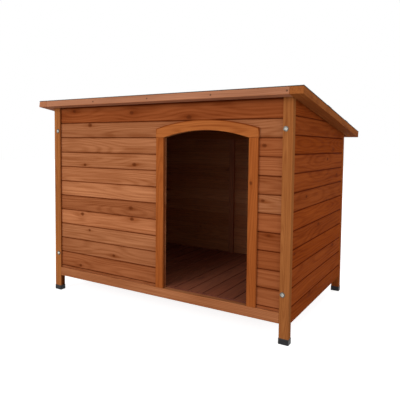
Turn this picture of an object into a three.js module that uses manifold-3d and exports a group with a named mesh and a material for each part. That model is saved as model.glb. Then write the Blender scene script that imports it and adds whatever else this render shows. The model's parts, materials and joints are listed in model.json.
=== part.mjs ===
// Wooden dog house with an arched doorway and a lean-to roof that lifts on two rear hinges.
// Millimetres, +Z up, the doorway faces -Y, and the origin is on the ground below the middle
// of the whole house, roof overhangs included.

import * as THREE from "three";
import { mergeVertices } from "three/addons/utils/BufferGeometryUtils.js";
import Module from "manifold-3d";

const wasm = await Module();
wasm.setup();

// ---------------------------------------------------------------------------
// Driving dimensions
// ---------------------------------------------------------------------------

const seatGap = 0.3; // between two pieces that touch

// House box, measured over the corner posts
const houseWidth = 1067;
const houseDepth = 667;
const railUnderside = 65.6; // ground to the underside of the walls

// Roof, measured to its furthest edges
const roofFrontHeight = 817;
const roofPitchDegrees = 8.2;
const frontOverhang = 43;
const rearOverhang = 72;
const feltThickness = 1.5;
const feltLap = 0.7; // felt past the edge of the wood
const deckThickness = 9;
const deckBoardPitch = 98;
const roofFrameDepth = 24; // fascia, barge and rear batten, square to the roof
const fasciaWidth = 34;
const rearBattenWidth = 30;
const bargeWidth = 44;
const roofSideClearance = 0.8; // barge to corner post
const crossBattenWidth = 24;
const crossBattenDepth = 24;
const crossBattenInset = 73.5; // outer face of a post to the outer face of a cross batten
const crossBattenEndClearance = 8;

// Corner posts and their plastic shoes
const postWidth = 33;
const postDepth = 23.5;
const postArris = 1.5;
const shoeHeight = 19.5;
const shoeWall = 1;
const shoeBase = 2;

// Tongued boards of the walls
const boardThickness = 11;
const boardPitch = 61.3;
const boardGrooveWidth = 4;
const boardGrooveDepth = 2;
const frontBoardRecess = 9; // post face to board face, on the front and the rear wall
const postGrooveDepth = 6;
const topBoardHeight = 75.6; // front wall, from its highest seam to the roof
const sideBoardRecess = 1.5;
const sideTopRowHeight = 64.4; // side walls, at the front post
const leastRowHeight = 5;

// Rails and battens
const railHeight = 35.4;
const cornerBattenWidth = 24;
const cornerBattenDepth = 24;
const topBattenThickness = 24;
const topBattenHeight = 45;
const rearRailHeight = 36;
const centreBattenWidth = 25;
const centreBattenDepth = 15;
const centreBattenX = 3;

// Doorway with its planted facing
const doorFromPost = 115.5; // right side of the doorway to the right post
const doorWidth = 342;
const doorArchRise = 26;
const facingWidth = 33;
const facingProud = 1; // facing beyond the post face
const headerLap = 1; // header past the outer edge of a jamb
const headerEndHeight = 32.5;
const headerArchRise = 30;

// Floor
const floorStep = 4; // floor above the bottom rail
const floorThickness = 11;
const floorPlay = 1; // floor to the walls around it
const floorSplitX = 17.7;
const floorSplitGap = 0.6;
const bearerWidth = 24;
const bearerHeight = 28;

// Corner bolts
const boltRadius = 3;
const boltHeadRadius = 5.5;
const boltHeadHeight = 3.6;
const boltHeadSide = 1.6; // straight side of the head, below its slope
const boltHeadFlatRadius = 3.4;
const washerRadius = 8.5;
const washerThickness = 1.4;
const boltLength = 40;
const boltInset = 22.5; // outer face of the post to the bolt
const boltLowHeight = 162;
const boltTopDrop = 107; // top of the post to the upper bolt
const boltHoleClearance = 0.3;

// Roof hinges
const hingeInset = 203.5; // outer face of a post to the middle of a hinge
const hingeLength = 60;
const hingeLeafThickness = 1.6;
const hingeLeafWidth = 25;
const knuckleRadius = 3.2;
const knuckleGap = 0.3;
const pinRadius = 1.5;
const pinClearance = 0.08;
const roofOpenDegrees = 60;

// Roof prop
const propWidth = 20;
const propThickness = 10;
const propScrewRadius = 2.6;
const propScrewHeadRadius = 6;
const propScrewHeadHeight = 2.4;
const propScrewHeadSide = 1.2;
const propScrewHeadFlatRadius = 3;
const propScrewDepth = 18;
const clipThickness = 1;
const clipLength = 16;
const clipDrop = 19;
const clipFromEnd = 40;
const propEndClearance = 8; // free end of the stored arm to the front top rail
const catchFromHinge = 150;
const catchDrop = 33; // wall top to the seat of the prop
const catchSeatLead = 4;
const catchLipHeight = 8;
const catchLipWidth = 8;
const catchDepth = 18;
const catchSideClearance = 2; // catch to the roof's cross batten
const propSeatGap = 0.4;

// Facets
const boltSides = 12;
const knuckleSides = 16;
const archSteps = 20;
const mergeDistance = 0.0001; // corners nearer than this are one

// ---------------------------------------------------------------------------
// Sizes worked out from them
// ---------------------------------------------------------------------------

const halfWidth = houseWidth / 2;
const frontFace = -(houseDepth + rearOverhang - frontOverhang) / 2;
const rearFace = frontFace + houseDepth;
const pitch = THREE.MathUtils.degToRad(roofPitchDegrees);
const roofThickness = feltThickness + seatGap + roofFrameDepth;

// The roof's own frame: y runs down the slope from the upper front edge of the wood,
// z is square to the roof, and 0 is the top of the felt.
const roofFrontY = frontFace - frontOverhang + roofThickness * Math.sin(pitch);
const roofTopZ = roofFrontHeight - feltLap * Math.sin(pitch);
const roofLength = (rearFace + rearOverhang - roofFrontY) / Math.cos(pitch) - feltLap;
const frameTop = -feltThickness - seatGap;
const deckUnderside = frameTop - deckThickness;
const wallTop = deckUnderside - seatGap; // the sloping plane that the walls are cut to

const postInner = halfWidth - postWidth;
const sideOuter = halfWidth - sideBoardRecess;
const sideInner = sideOuter - boardThickness;
const cornerBattenOuter = sideInner - seatGap;
const cornerBattenInner = cornerBattenOuter - cornerBattenWidth;
const railTop = railUnderside + railHeight;
const frontBoardFace = frontFace + frontBoardRecess;
const frontBoardBack = frontBoardFace + boardThickness;
const rearBoardFace = rearFace - frontBoardRecess;
const rearBoardInner = rearBoardFace - boardThickness;
const frontPostBack = frontFace + postDepth;
const rearPostInner = rearFace - postDepth;
const boardEnd = postInner + postGrooveDepth;
const floorTop = railTop + floorStep;
const doorRight = postInner - doorFromPost;
const doorLeft = doorRight - doorWidth;
const frontTopSeam = wallTopAt(frontBoardFace) - topBoardHeight;
const archSpring = frontTopSeam - boardPitch;
const facingFace = frontFace - facingProud;
const facingBack = frontBoardFace - seatGap;
const frontRailBack = frontBoardBack + topBattenThickness;
const crossBattenOuter = halfWidth - crossBattenInset;
const boltX = halfWidth - boltInset;

// ---------------------------------------------------------------------------
// Places on the roof's slope
// ---------------------------------------------------------------------------

// Height of the wall's top plane above the ground at a depth y.
function wallTopAt(y) {
  return roofTopZ - (y - roofFrontY) * Math.tan(pitch) + wallTop / Math.cos(pitch);
}

// The roof's own y of a point at house depth y and roof height z.
function roofYAt(houseY, roofZ) {
  return (houseY - roofFrontY - roofZ * Math.sin(pitch)) / Math.cos(pitch);
}

// A point of the roof's own frame, as [y, z] of the house.
function roofToHouse(roofY, roofZ) {
  return [
    roofFrontY + roofY * Math.cos(pitch) + roofZ * Math.sin(pitch),
    roofTopZ - roofY * Math.sin(pitch) + roofZ * Math.cos(pitch),
  ];
}

// ---------------------------------------------------------------------------
// Geometry helpers
// ---------------------------------------------------------------------------

const xFromProfile = new THREE.Matrix4().makeBasis(
  new THREE.Vector3(0, 1, 0),
  new THREE.Vector3(0, 0, 1),
  new THREE.Vector3(1, 0, 0),
);
const yFromProfile = new THREE.Matrix4().makeBasis(
  new THREE.Vector3(1, 0, 0),
  new THREE.Vector3(0, 0, 1),
  new THREE.Vector3(0, -1, 0),
);

function block([x0, x1], [y0, y1], [z0, z1]) {
  const geometry = new THREE.BoxGeometry(x1 - x0, y1 - y0, z1 - z0);
  return geometry.translate((x0 + x1) / 2, (y0 + y1) / 2, (z0 + z1) / 2);
}

function shapeOf(points, hole) {
  const shape = new THREE.Shape(points.map(([a, b]) => new THREE.Vector2(a, b)));
  if (hole) shape.holes.push(new THREE.Path(hole.map(([a, b]) => new THREE.Vector2(a, b))));
  return shape;
}

function extrude(shape, length) {
  return new THREE.ExtrudeGeometry(shape, { depth: length, bevelEnabled: false, steps: 1 });
}

// A profile of [x, y] points, carried up from z0 to z1.
function uprightOf(points, [z0, z1]) {
  return extrude(shapeOf(points), z1 - z0).translate(0, 0, z0);
}

// A profile of [y, z] points, carried from x0 to x1.
function acrossOf(points, [x0, x1], hole) {
  const geometry = extrude(shapeOf(points, hole), x1 - x0);
  return geometry.applyMatrix4(xFromProfile).translate(x0, 0, 0);
}

// A profile of [x, z] points, carried from y0 to y1.
function deepOf(points, [y0, y1]) {
  const geometry = extrude(shapeOf(points), y1 - y0);
  return geometry.applyMatrix4(yFromProfile).translate(0, y1, 0);
}

function circleOf([a, b], radius, sides) {
  return Array.from({ length: sides }, (_, i) => {
    const turn = (2 * Math.PI * i) / sides;
    return [a + radius * Math.cos(turn), b + radius * Math.sin(turn)];
  });
}

// Radius of a many-sided hole whose flats stay clear of a round of the given radius.
function holeRadius(radius, clearance, sides) {
  return (radius + clearance) / Math.cos(Math.PI / sides);
}

// Points along the arc through (left, z), (right, z) and its crown at z + rise.
function archOf(left, right, z, rise) {
  const half = (right - left) / 2;
  const radius = (half * half + rise * rise) / (2 * rise);
  const reach = Math.asin(half / radius);
  return Array.from({ length: archSteps + 1 }, (_, i) => {
    const turn = reach * ((2 * i) / archSteps - 1);
    const x = (left + right) / 2 + radius * Math.sin(turn);
    return [x, z + rise - radius * (1 - Math.cos(turn))];
  });
}

function solidOf(geometry) {
  const plain = geometry.clone();
  plain.deleteAttribute("normal");
  plain.deleteAttribute("uv");
  const merged = mergeVertices(plain, mergeDistance);
  return new wasm.Manifold(
    new wasm.Mesh({
      numProp: 3,
      vertProperties: new Float32Array(merged.attributes.position.array),
      triVerts: new Uint32Array(merged.index.array),
    }),
  );
}

function geometryOf(solid) {
  const { vertProperties, triVerts } = solid.getMesh();
  const geometry = new THREE.BufferGeometry();
  geometry.setAttribute("position", new THREE.BufferAttribute(vertProperties, 3));
  geometry.setIndex(new THREE.BufferAttribute(triVerts, 1));
  geometry.computeVertexNormals();
  return geometry;
}

function cut(geometry, ...tools) {
  return geometryOf(tools.reduce((left, tool) => left.subtract(solidOf(tool)), solidOf(geometry)));
}

function join(geometry, ...others) {
  return geometryOf(others.reduce((sum, other) => sum.add(solidOf(other)), solidOf(geometry)));
}

// Everything above the walls' top plane.
function aboveWalls() {
  const reach = houseWidth + houseDepth;
  const space = block([-reach, reach], [-reach, reach], [wallTop, wallTop + reach]);
  return space.rotateX(-pitch).translate(0, roofFrontY, roofTopZ);
}

// ---------------------------------------------------------------------------
// Boards
// ---------------------------------------------------------------------------

// Seams every boardPitch down from the top one, as long as a row stays below each.
function seamsBelow(topSeam, bottom) {
  const count = Math.floor((topSeam - bottom - leastRowHeight) / boardPitch) + 1;
  return Array.from({ length: count }, (_, row) => topSeam - row * boardPitch);
}

// Outline of joined boards: along runs across them, depth through them, with a V at each
// seam on both faces.
function boardOutline(alongLow, alongHigh, faceDepth, backDepth, seams) {
  const inward = Math.sign(backDepth - faceDepth) * boardGrooveDepth;
  const half = boardGrooveWidth / 2;
  const rising = seams.filter((s) => s > alongLow + half && s < alongHigh - half);
  rising.sort((a, b) => a - b);
  const side = (depth, turn) =>
    rising.flatMap((s) => [
      [depth, s - half],
      [depth + turn, s],
      [depth, s + half],
    ]);
  const face = side(faceDepth, inward);
  const back = side(backDepth, -inward).reverse();
  return [
    [faceDepth, alongLow],
    ...face,
    [faceDepth, alongHigh],
    [backDepth, alongHigh],
    ...back,
    [backDepth, alongLow],
  ];
}

// ---------------------------------------------------------------------------
// Finishes
// ---------------------------------------------------------------------------

const finishes = {
  board: { color: 0xa9653a, roughness: 0.62, metalness: 0 },
  trim: { color: 0xa75c22, roughness: 0.55, metalness: 0 },
  inside: { color: 0x8a4a2a, roughness: 0.7, metalness: 0 },
  felt: { color: 0x3b3d3c, roughness: 0.95, metalness: 0 },
  shoe: { color: 0x151515, roughness: 0.5, metalness: 0 },
  zinc: { color: 0xb9bcbd, roughness: 0.35, metalness: 0.9 },
};

function piece(group, name, finish, geometry) {
  const mesh = new THREE.Mesh(geometry, new THREE.MeshStandardMaterial(finishes[finish]));
  mesh.name = name;
  group.add(mesh);
  return mesh;
}

const dogHouse = new THREE.Group();
const roof = new THREE.Group();
roof.position.set(0, roofFrontY, roofTopZ);
roof.rotation.x = -pitch;
dogHouse.add(roof);

const sides = [
  ["left", -1],
  ["right", 1],
];
const ends = [
  ["front", 1],
  ["rear", -1],
];

// A span between two distances from the middle, on the left or the right.
function sideSpan(side, near, far) {
  return side > 0 ? [near, far] : [-far, -near];
}

// A span that starts at a wall's outer face and goes into the house.
function depthSpan(end, near, far) {
  return end > 0 ? [frontFace + near, frontFace + far] : [rearFace - far, rearFace - near];
}

function topOfPost(end) {
  const [y0, y1] = depthSpan(end, 0, postDepth);
  return Math.min(wallTopAt(y0), wallTopAt(y1));
}

function boltHeights(end) {
  return [
    ["low", boltLowHeight],
    ["high", topOfPost(end) - boltTopDrop],
  ];
}

// A round bored through in y at the bolts of one corner.
function boltHoles(side, end, near, far) {
  const radius = holeRadius(boltRadius, boltHoleClearance, boltSides);
  return boltHeights(end).map(([, z]) =>
    deepOf(circleOf([side * boltX, z], radius, boltSides), depthSpan(end, near, far)),
  );
}

// ---------------------------------------------------------------------------
// Corner posts, shoes and bolts
// ---------------------------------------------------------------------------

// Plan of a post: arrises on its four corners, and the groove that holds the boards.
function postOutline(side, end) {
  const outer = halfWidth;
  const grooveFloor = boardEnd + seatGap;
  const grooveNear = frontBoardRecess - seatGap;
  const grooveFar = frontBoardRecess + boardThickness + seatGap;
  const a = postArris;
  const plan = [
    [postInner + a, 0],
    [outer - a, 0],
    [outer, a],
    [outer, postDepth - a],
    [outer - a, postDepth],
    [postInner + a, postDepth],
    [postInner, postDepth - a],
    [postInner, grooveFar],
    [grooveFloor, grooveFar],
    [grooveFloor, grooveNear],
    [postInner, grooveNear],
    [postInner, a],
  ];
  return plan.map(([x, y]) => [side * x, end > 0 ? frontFace + y : rearFace - y]);
}

function addCorner(side, sideName, end, endName) {
  const corner = `${endName}_${sideName}`;
  const postFoot = shoeBase + seatGap;
  const post = uprightOf(postOutline(side, end), [postFoot, roofFrontHeight]);
  const holes = boltHoles(side, end, -postDepth, 2 * postDepth);
  piece(dogHouse, `post_${corner}`, "trim", cut(post, aboveWalls(), ...holes));

  const out = shoeWall + seatGap;
  const shell = block(
    sideSpan(side, postInner - out, halfWidth + out),
    depthSpan(end, -out, postDepth + out),
    [0, shoeHeight],
  );
  const pocket = block(
    sideSpan(side, postInner - seatGap, halfWidth + seatGap),
    depthSpan(end, -seatGap, postDepth + seatGap),
    [shoeBase, shoeHeight + shoeBase],
  );
  piece(dogHouse, `shoe_${corner}`, "shoe", cut(shell, pocket));

  for (const [level, z] of boltHeights(end)) {
    const bolt = new THREE.LatheGeometry(boltProfile(), boltSides);
    bolt.rotateX(end > 0 ? 0 : Math.PI);
    bolt.translate(side * boltX, end > 0 ? frontFace : rearFace, z);
    piece(dogHouse, `bolt_${corner}_${level}`, "zinc", bolt);
  }
}

// Pan head, washer and shank, turned about the y axis with the post's face at y = 0.
function boltProfile() {
  const washerBack = -seatGap;
  const washerFace = washerBack - washerThickness;
  const headTop = washerFace - boltHeadHeight;
  return [
    [0, headTop],
    [boltHeadFlatRadius, headTop],
    [boltHeadRadius, washerFace - boltHeadSide],
    [boltHeadRadius, washerFace],
    [washerRadius, washerFace],
    [washerRadius, washerBack],
    [boltRadius, washerBack],
    [boltRadius, boltLength],
    [0, boltLength],
  ].map(([radius, y]) => new THREE.Vector2(radius, y));
}

for (const [endName, end] of ends)
  for (const [sideName, side] of sides) addCorner(side, sideName, end, endName);

// ---------------------------------------------------------------------------
// Front wall
// ---------------------------------------------------------------------------

const frontSeams = seamsBelow(frontTopSeam, railTop);
const railEnd = postInner - seatGap;

function addFrontWall() {
  const rail = block([-railEnd, railEnd], [frontFace, frontPostBack], [railUnderside, railTop]);
  piece(dogHouse, "front_bottom_rail", "trim", rail);

  const top = roofFrontHeight;
  const topBoard = acrossOf(
    boardOutline(frontTopSeam + seatGap / 2, top, frontBoardFace, frontBoardBack, []),
    [-boardEnd, boardEnd],
  );
  piece(dogHouse, "front_top_board", "board", cut(topBoard, aboveWalls()));

  const archBoard = deepOf(
    [
      [-boardEnd, archSpring + seatGap / 2],
      [doorLeft, archSpring + seatGap / 2],
      ...archOf(doorLeft, doorRight, archSpring, doorArchRise).slice(1, -1),
      [doorRight, archSpring + seatGap / 2],
      [boardEnd, archSpring + seatGap / 2],
      [boardEnd, frontTopSeam - seatGap / 2],
      [-boardEnd, frontTopSeam - seatGap / 2],
    ],
    [frontBoardFace, frontBoardBack],
  );
  piece(dogHouse, "front_arch_board", "board", archBoard);

  const low = railTop + seatGap;
  const high = archSpring - seatGap / 2;
  const rows = boardOutline(low, high, frontBoardFace, frontBoardBack, frontSeams);
  piece(dogHouse, "front_boards_left", "board", acrossOf(rows, [-boardEnd, doorLeft]));
  piece(dogHouse, "front_boards_right", "board", acrossOf(rows, [doorRight, boardEnd]));

  const topRail = acrossOf(
    [
      [frontBoardBack + seatGap, wallTopAt(frontBoardBack + seatGap)],
      [frontBoardBack + seatGap, wallTopAt(frontBoardBack) - topBattenHeight],
      [frontRailBack, wallTopAt(frontBoardBack) - topBattenHeight],
      [frontRailBack, wallTopAt(frontRailBack)],
    ],
    [-cornerBattenInner + seatGap, cornerBattenInner - seatGap],
  );
  piece(dogHouse, "front_top_rail", "inside", topRail);
}

function addDoorFacing() {
  const foot = railTop + seatGap;
  const jambTop = archSpring;
  const depth = [facingFace, facingBack];
  const jambs = [
    ["door_jamb_left", doorLeft - facingWidth, doorLeft],
    ["door_jamb_right", doorRight, doorRight + facingWidth],
  ];
  for (const [name, x0, x1] of jambs) {
    const plan = [
      [x0, facingBack],
      [x0, facingFace + postArris],
      [x0 + postArris, facingFace],
      [x1 - postArris, facingFace],
      [x1, facingFace + postArris],
      [x1, facingBack],
    ];
    piece(dogHouse, name, "trim", uprightOf(plan, [foot, jambTop]));
  }
  const underside = jambTop + seatGap;
  const end0 = doorLeft - facingWidth - headerLap;
  const end1 = doorRight + facingWidth + headerLap;
  const header = [
    [end0, underside],
    ...archOf(doorLeft, doorRight, underside, doorArchRise),
    [end1, underside],
    ...archOf(end0, end1, underside + headerEndHeight, headerArchRise).reverse(),
  ];
  piece(dogHouse, "door_header", "trim", deepOf(header, depth));
}

addFrontWall();
addDoorFacing();

// ---------------------------------------------------------------------------
// Rear wall
// ---------------------------------------------------------------------------

const rearRailUnderside = wallTopAt(rearFace) - rearRailHeight;

function addRearWall() {
  const rail = block([-railEnd, railEnd], [rearPostInner, rearFace], [railUnderside, railTop]);
  piece(dogHouse, "rear_bottom_rail", "trim", rail);

  const topRail = acrossOf(
    [
      [rearPostInner, rearRailUnderside],
      [rearFace, rearRailUnderside],
      [rearFace, wallTopAt(rearFace)],
      [rearPostInner, wallTopAt(rearPostInner)],
    ],
    [-railEnd, railEnd],
  );
  piece(dogHouse, "rear_top_rail", "trim", topRail);

  const high = rearRailUnderside - seatGap;
  const rows = boardOutline(railTop + seatGap, high, rearBoardFace, rearBoardInner, frontSeams);
  piece(dogHouse, "rear_boards", "board", acrossOf(rows, [-boardEnd, boardEnd]));

  const half = centreBattenWidth / 2;
  const back = rearBoardInner - seatGap;
  const batten = block(
    [centreBattenX - half, centreBattenX + half],
    [back - centreBattenDepth, back],
    [floorTop + seatGap, high],
  );
  piece(dogHouse, "rear_centre_batten", "inside", batten);
}

addRearWall();

// ---------------------------------------------------------------------------
// Side walls
// ---------------------------------------------------------------------------

const sideTopSeam = wallTopAt(frontPostBack) - sideTopRowHeight;
const sideSeams = seamsBelow(sideTopSeam, railUnderside);

function addSideWall(side, sideName) {
  const outline = boardOutline(
    railUnderside,
    roofFrontHeight,
    side * sideOuter,
    side * sideInner,
    sideSeams,
  );
  const depth = [frontPostBack + seatGap, rearPostInner - seatGap];
  piece(dogHouse, `${sideName}_side_boards`, "board", cut(deepOf(outline, depth), aboveWalls()));

  const across = sideSpan(side, cornerBattenInner, cornerBattenOuter);
  for (const [endName, end] of ends) {
    const near = postDepth + seatGap;
    const far = near + cornerBattenDepth;
    const batten = block(across, depthSpan(end, near, far), [railUnderside, roofFrontHeight]);
    const holes = boltHoles(side, end, 0, 2 * far);
    const name = `${endName}_${sideName}_corner_batten`;
    piece(dogHouse, name, "inside", cut(batten, aboveWalls(), ...holes));
  }

  const [start] = depthSpan(1, postDepth + cornerBattenDepth + 2 * seatGap, 0);
  const [, finish] = depthSpan(-1, postDepth + cornerBattenDepth + 2 * seatGap, 0);
  const topBatten = acrossOf(
    [
      [start, wallTopAt(start) - topBattenHeight],
      [finish, wallTopAt(finish) - topBattenHeight],
      [finish, wallTopAt(finish)],
      [start, wallTopAt(start)],
    ],
    across,
  );
  piece(dogHouse, `${sideName}_top_batten`, "inside", topBatten);
}

for (const [sideName, side] of sides) addSideWall(side, sideName);

// ---------------------------------------------------------------------------
// Floor
// ---------------------------------------------------------------------------

function addFloor() {
  const underside = floorTop - floorThickness;
  const bearerTop = underside - seatGap;
  const bearerSpan = [bearerTop - bearerHeight, bearerTop];
  const shortSpan = [-cornerBattenInner + seatGap, cornerBattenInner - seatGap];
  for (const [endName, end] of ends) {
    const near = postDepth + seatGap;
    const bearer = block(shortSpan, depthSpan(end, near, near + bearerWidth), bearerSpan);
    piece(dogHouse, `floor_bearer_${endName}`, "inside", bearer);
  }
  const middleY = (frontFace + rearFace) / 2;
  const middle = block(
    [-sideInner + seatGap, sideInner - seatGap],
    [middleY - bearerWidth / 2, middleY + bearerWidth / 2],
    bearerSpan,
  );
  piece(dogHouse, "floor_bearer_middle", "inside", middle);

  const floorEnd = sideInner - floorPlay;
  const depth = [frontPostBack + floorPlay, rearPostInner - floorPlay];
  const notches = sides.flatMap(([, side]) =>
    ends.map(([, end]) =>
      block(
        sideSpan(side, cornerBattenInner - floorPlay, halfWidth),
        depthSpan(end, 0, postDepth + seatGap + cornerBattenDepth + floorPlay),
        [underside - floorThickness, floorTop + floorThickness],
      ),
    ),
  );
  const panels = [
    ["floor_panel_left", -floorEnd, floorSplitX - floorSplitGap / 2],
    ["floor_panel_right", floorSplitX + floorSplitGap / 2, floorEnd],
  ];
  const count = Math.ceil(houseWidth / boardPitch);
  const seams = Array.from({ length: 2 * count + 1 }, (_, i) => {
    return floorSplitX + (i - count) * boardPitch;
  });
  for (const [name, x0, x1] of panels) {
    const outline = boardOutline(x0, x1, floorTop, underside, seams);
    const planks = deepOf(
      outline.map(([z, x]) => [x, z]),
      depth,
    );
    piece(dogHouse, name, "inside", cut(planks, ...notches));
  }
}

addFloor();

// ---------------------------------------------------------------------------
// Hinge line and prop, in the roof's own frame
// ---------------------------------------------------------------------------

const hingeRoofZ = wallTop - knuckleRadius;
const hingeRoofY = roofYAt(rearFace + seatGap + knuckleRadius, hingeRoofZ);
const [hingeY, hingeZ] = roofToHouse(hingeRoofY, hingeRoofZ);

const openAngle = THREE.MathUtils.degToRad(roofOpenDegrees);

// Measured along the slope from the hinge line, with x towards the front and y away from
// the house.
const propPivotHeight =
  deckUnderside - seatGap - clipThickness - seatGap - propWidth / 2 - hingeRoofZ;
const propSeat = new THREE.Vector2(catchFromHinge, wallTop - catchDrop - hingeRoofZ);
const propRun = hingeRoofY - roofYAt(frontRailBack + propEndClearance, wallTop);
const propPivot = new THREE.Vector2(pivotFromHinge(), propPivotHeight);
const propRoofPivot = [hingeRoofY - propPivot.x, hingeRoofZ + propPivot.y];
const raisedPivot = propPivot.clone().rotateAround(new THREE.Vector2(), openAngle);
const propReach = propSeat.clone().sub(raisedPivot);
const propLength = propReach.length() - propSeatGap;
const propSwingDegrees = THREE.MathUtils.radToDeg(openAngle - propReach.angle() + 2 * Math.PI);

// Distance from the hinge line to the pivot, so that the arm ends at propRun while it is
// stored and at propSeat while the open roof rests on it. With pivot distance a, the arm is
// propRun - a long, and also as long as the line from the raised pivot to the seat: a squared
// drops out of that equation, which leaves a linear one for a.
function pivotFromHinge() {
  const level = propPivotHeight;
  const { x: along, y: drop } = propSeat;
  const sine = Math.sin(openAngle);
  const cosine = Math.cos(openAngle);
  const still = level ** 2 + propSeat.lengthSq() + 2 * level * (along * sine - drop * cosine);
  const reach = propRun + propSeatGap;
  return (reach ** 2 - still) / (2 * (reach - along * cosine - drop * sine));
}

// ---------------------------------------------------------------------------
// Roof
// ---------------------------------------------------------------------------

const roofHalfWidth = halfWidth + roofSideClearance + bargeWidth;
const bargeInner = roofHalfWidth - bargeWidth;
const betweenBarges = [-bargeInner + seatGap, bargeInner - seatGap];

function addRoofCover() {
  const frameSpan = [frameTop - roofFrameDepth, frameTop];
  const felt = block(
    [-roofHalfWidth - feltLap, roofHalfWidth + feltLap],
    [-feltLap, roofLength + feltLap],
    [-feltThickness, 0],
  );
  piece(roof, "roof_felt", "felt", felt);

  const deckFront = fasciaWidth + seatGap;
  const deckRear = roofLength - rearBattenWidth - seatGap;
  const deckRows = Math.ceil((deckRear - deckFront) / deckBoardPitch);
  const seams = Array.from({ length: deckRows - 1 }, (_, i) => deckFront + (i + 1) * deckBoardPitch);
  const outline = boardOutline(deckFront, deckRear, frameTop, deckUnderside, seams);
  const deck = acrossOf(
    outline.map(([z, y]) => [y, z]),
    betweenBarges,
  );
  piece(roof, "roof_deck", "inside", deck);

  const fascia = block(betweenBarges, [0, fasciaWidth], frameSpan);
  piece(roof, "roof_front_fascia", "trim", fascia);
  const rearBatten = block(betweenBarges, [roofLength - rearBattenWidth, roofLength], frameSpan);
  piece(roof, "roof_rear_batten", "trim", rearBatten);
  for (const [sideName, side] of sides) {
    const barge = block(sideSpan(side, bargeInner, roofHalfWidth), [0, roofLength], frameSpan);
    piece(roof, `roof_barge_${sideName}`, "trim", barge);
  }
}

function addCrossBattens() {
  const high = deckUnderside - seatGap;
  const low = high - crossBattenDepth;
  const start = roofYAt(frontRailBack + crossBattenEndClearance, low);
  const finish = roofYAt(rearPostInner - crossBattenEndClearance, high);
  const screwHole = propScrewHole(crossBattenOuter - propScrewDepth, crossBattenOuter + propThickness);
  for (const [sideName, side] of sides) {
    const across = sideSpan(side, crossBattenOuter - crossBattenWidth, crossBattenOuter);
    const batten = block(across, [start, finish], [low, high]);
    const name = `roof_cross_batten_${sideName}`;
    piece(roof, name, "inside", side > 0 ? cut(batten, screwHole) : batten);
  }
}

addRoofCover();
addCrossBattens();

// ---------------------------------------------------------------------------
// Hinges
// ---------------------------------------------------------------------------

// The knuckle at a hinge line [a, b], with a round hole for the pin.
function knuckle(centre, span) {
  const bore = circleOf(centre, holeRadius(pinRadius, pinClearance, knuckleSides), knuckleSides);
  return acrossOf(circleOf(centre, knuckleRadius, knuckleSides), span, bore.reverse());
}

// Lengths of the two outer knuckles and the middle one.
function knuckleSpans(x) {
  const third = hingeLength / 3;
  const low = x - hingeLength / 2;
  return [
    [low, low + third - knuckleGap / 2],
    [low + third + knuckleGap / 2, low + 2 * third - knuckleGap / 2],
    [low + 2 * third + knuckleGap / 2, low + hingeLength],
  ];
}

function addHinge(side, sideName) {
  const x = side * (halfWidth - hingeInset);
  const whole = [x - hingeLength / 2, x + hingeLength / 2];
  const [first, middle, last] = knuckleSpans(x);
  const leafStart = knuckleRadius + 2 * knuckleGap;
  const bore = (centre) => {
    const radius = holeRadius(pinRadius, pinClearance, knuckleSides);
    return acrossOf(circleOf(centre, radius, knuckleSides), whole);
  };

  const wallPlate = [rearFace + seatGap, rearFace + seatGap + hingeLeafThickness];
  const wallCentre = [hingeY, hingeZ];
  const wallLeaf = join(
    block(whole, wallPlate, [hingeZ - leafStart - hingeLeafWidth, hingeZ - leafStart]),
    ...[first, last].flatMap((span) => [
      knuckle(wallCentre, span),
      block(span, wallPlate, [hingeZ - leafStart - hingeLeafThickness, hingeZ]),
    ]),
  );
  piece(dogHouse, `hinge_${sideName}_wall_leaf`, "zinc", cut(wallLeaf, bore(wallCentre)));

  const roofPlate = [wallTop - hingeLeafThickness, wallTop];
  const roofCentre = [hingeRoofY, hingeRoofZ];
  const leafNear = hingeRoofY + leafStart;
  const roofLeaf = join(
    block(whole, [leafNear, leafNear + hingeLeafWidth], roofPlate),
    knuckle(roofCentre, middle),
    block(middle, [hingeRoofY, leafNear + hingeLeafThickness], roofPlate),
  );
  piece(roof, `hinge_${sideName}_roof_leaf`, "zinc", cut(roofLeaf, bore(roofCentre)));

  const pin = acrossOf(circleOf(wallCentre, pinRadius, boltSides), whole);
  piece(dogHouse, `hinge_${sideName}_pin`, "zinc", pin);
}

for (const [sideName, side] of sides) addHinge(side, sideName);

// ---------------------------------------------------------------------------
// Roof prop: arm and screw under the roof, catch on the right side wall
// ---------------------------------------------------------------------------

const propInner = crossBattenOuter + seatGap;
const propOuter = propInner + propThickness;

function propScrewHole(x0, x1) {
  const radius = holeRadius(propScrewRadius, pinClearance, boltSides);
  return acrossOf(circleOf(propRoofPivot, radius, boltSides), [x0, x1]);
}

// The half round behind the pivot, from the arm's underside to its top.
function armRoundEnd([y, z], radius) {
  return Array.from({ length: boltSides + 1 }, (_, i) => {
    const turn = Math.PI * (i / boltSides - 0.5);
    return [y + radius * Math.cos(turn), z + radius * Math.sin(turn)];
  });
}

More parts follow.
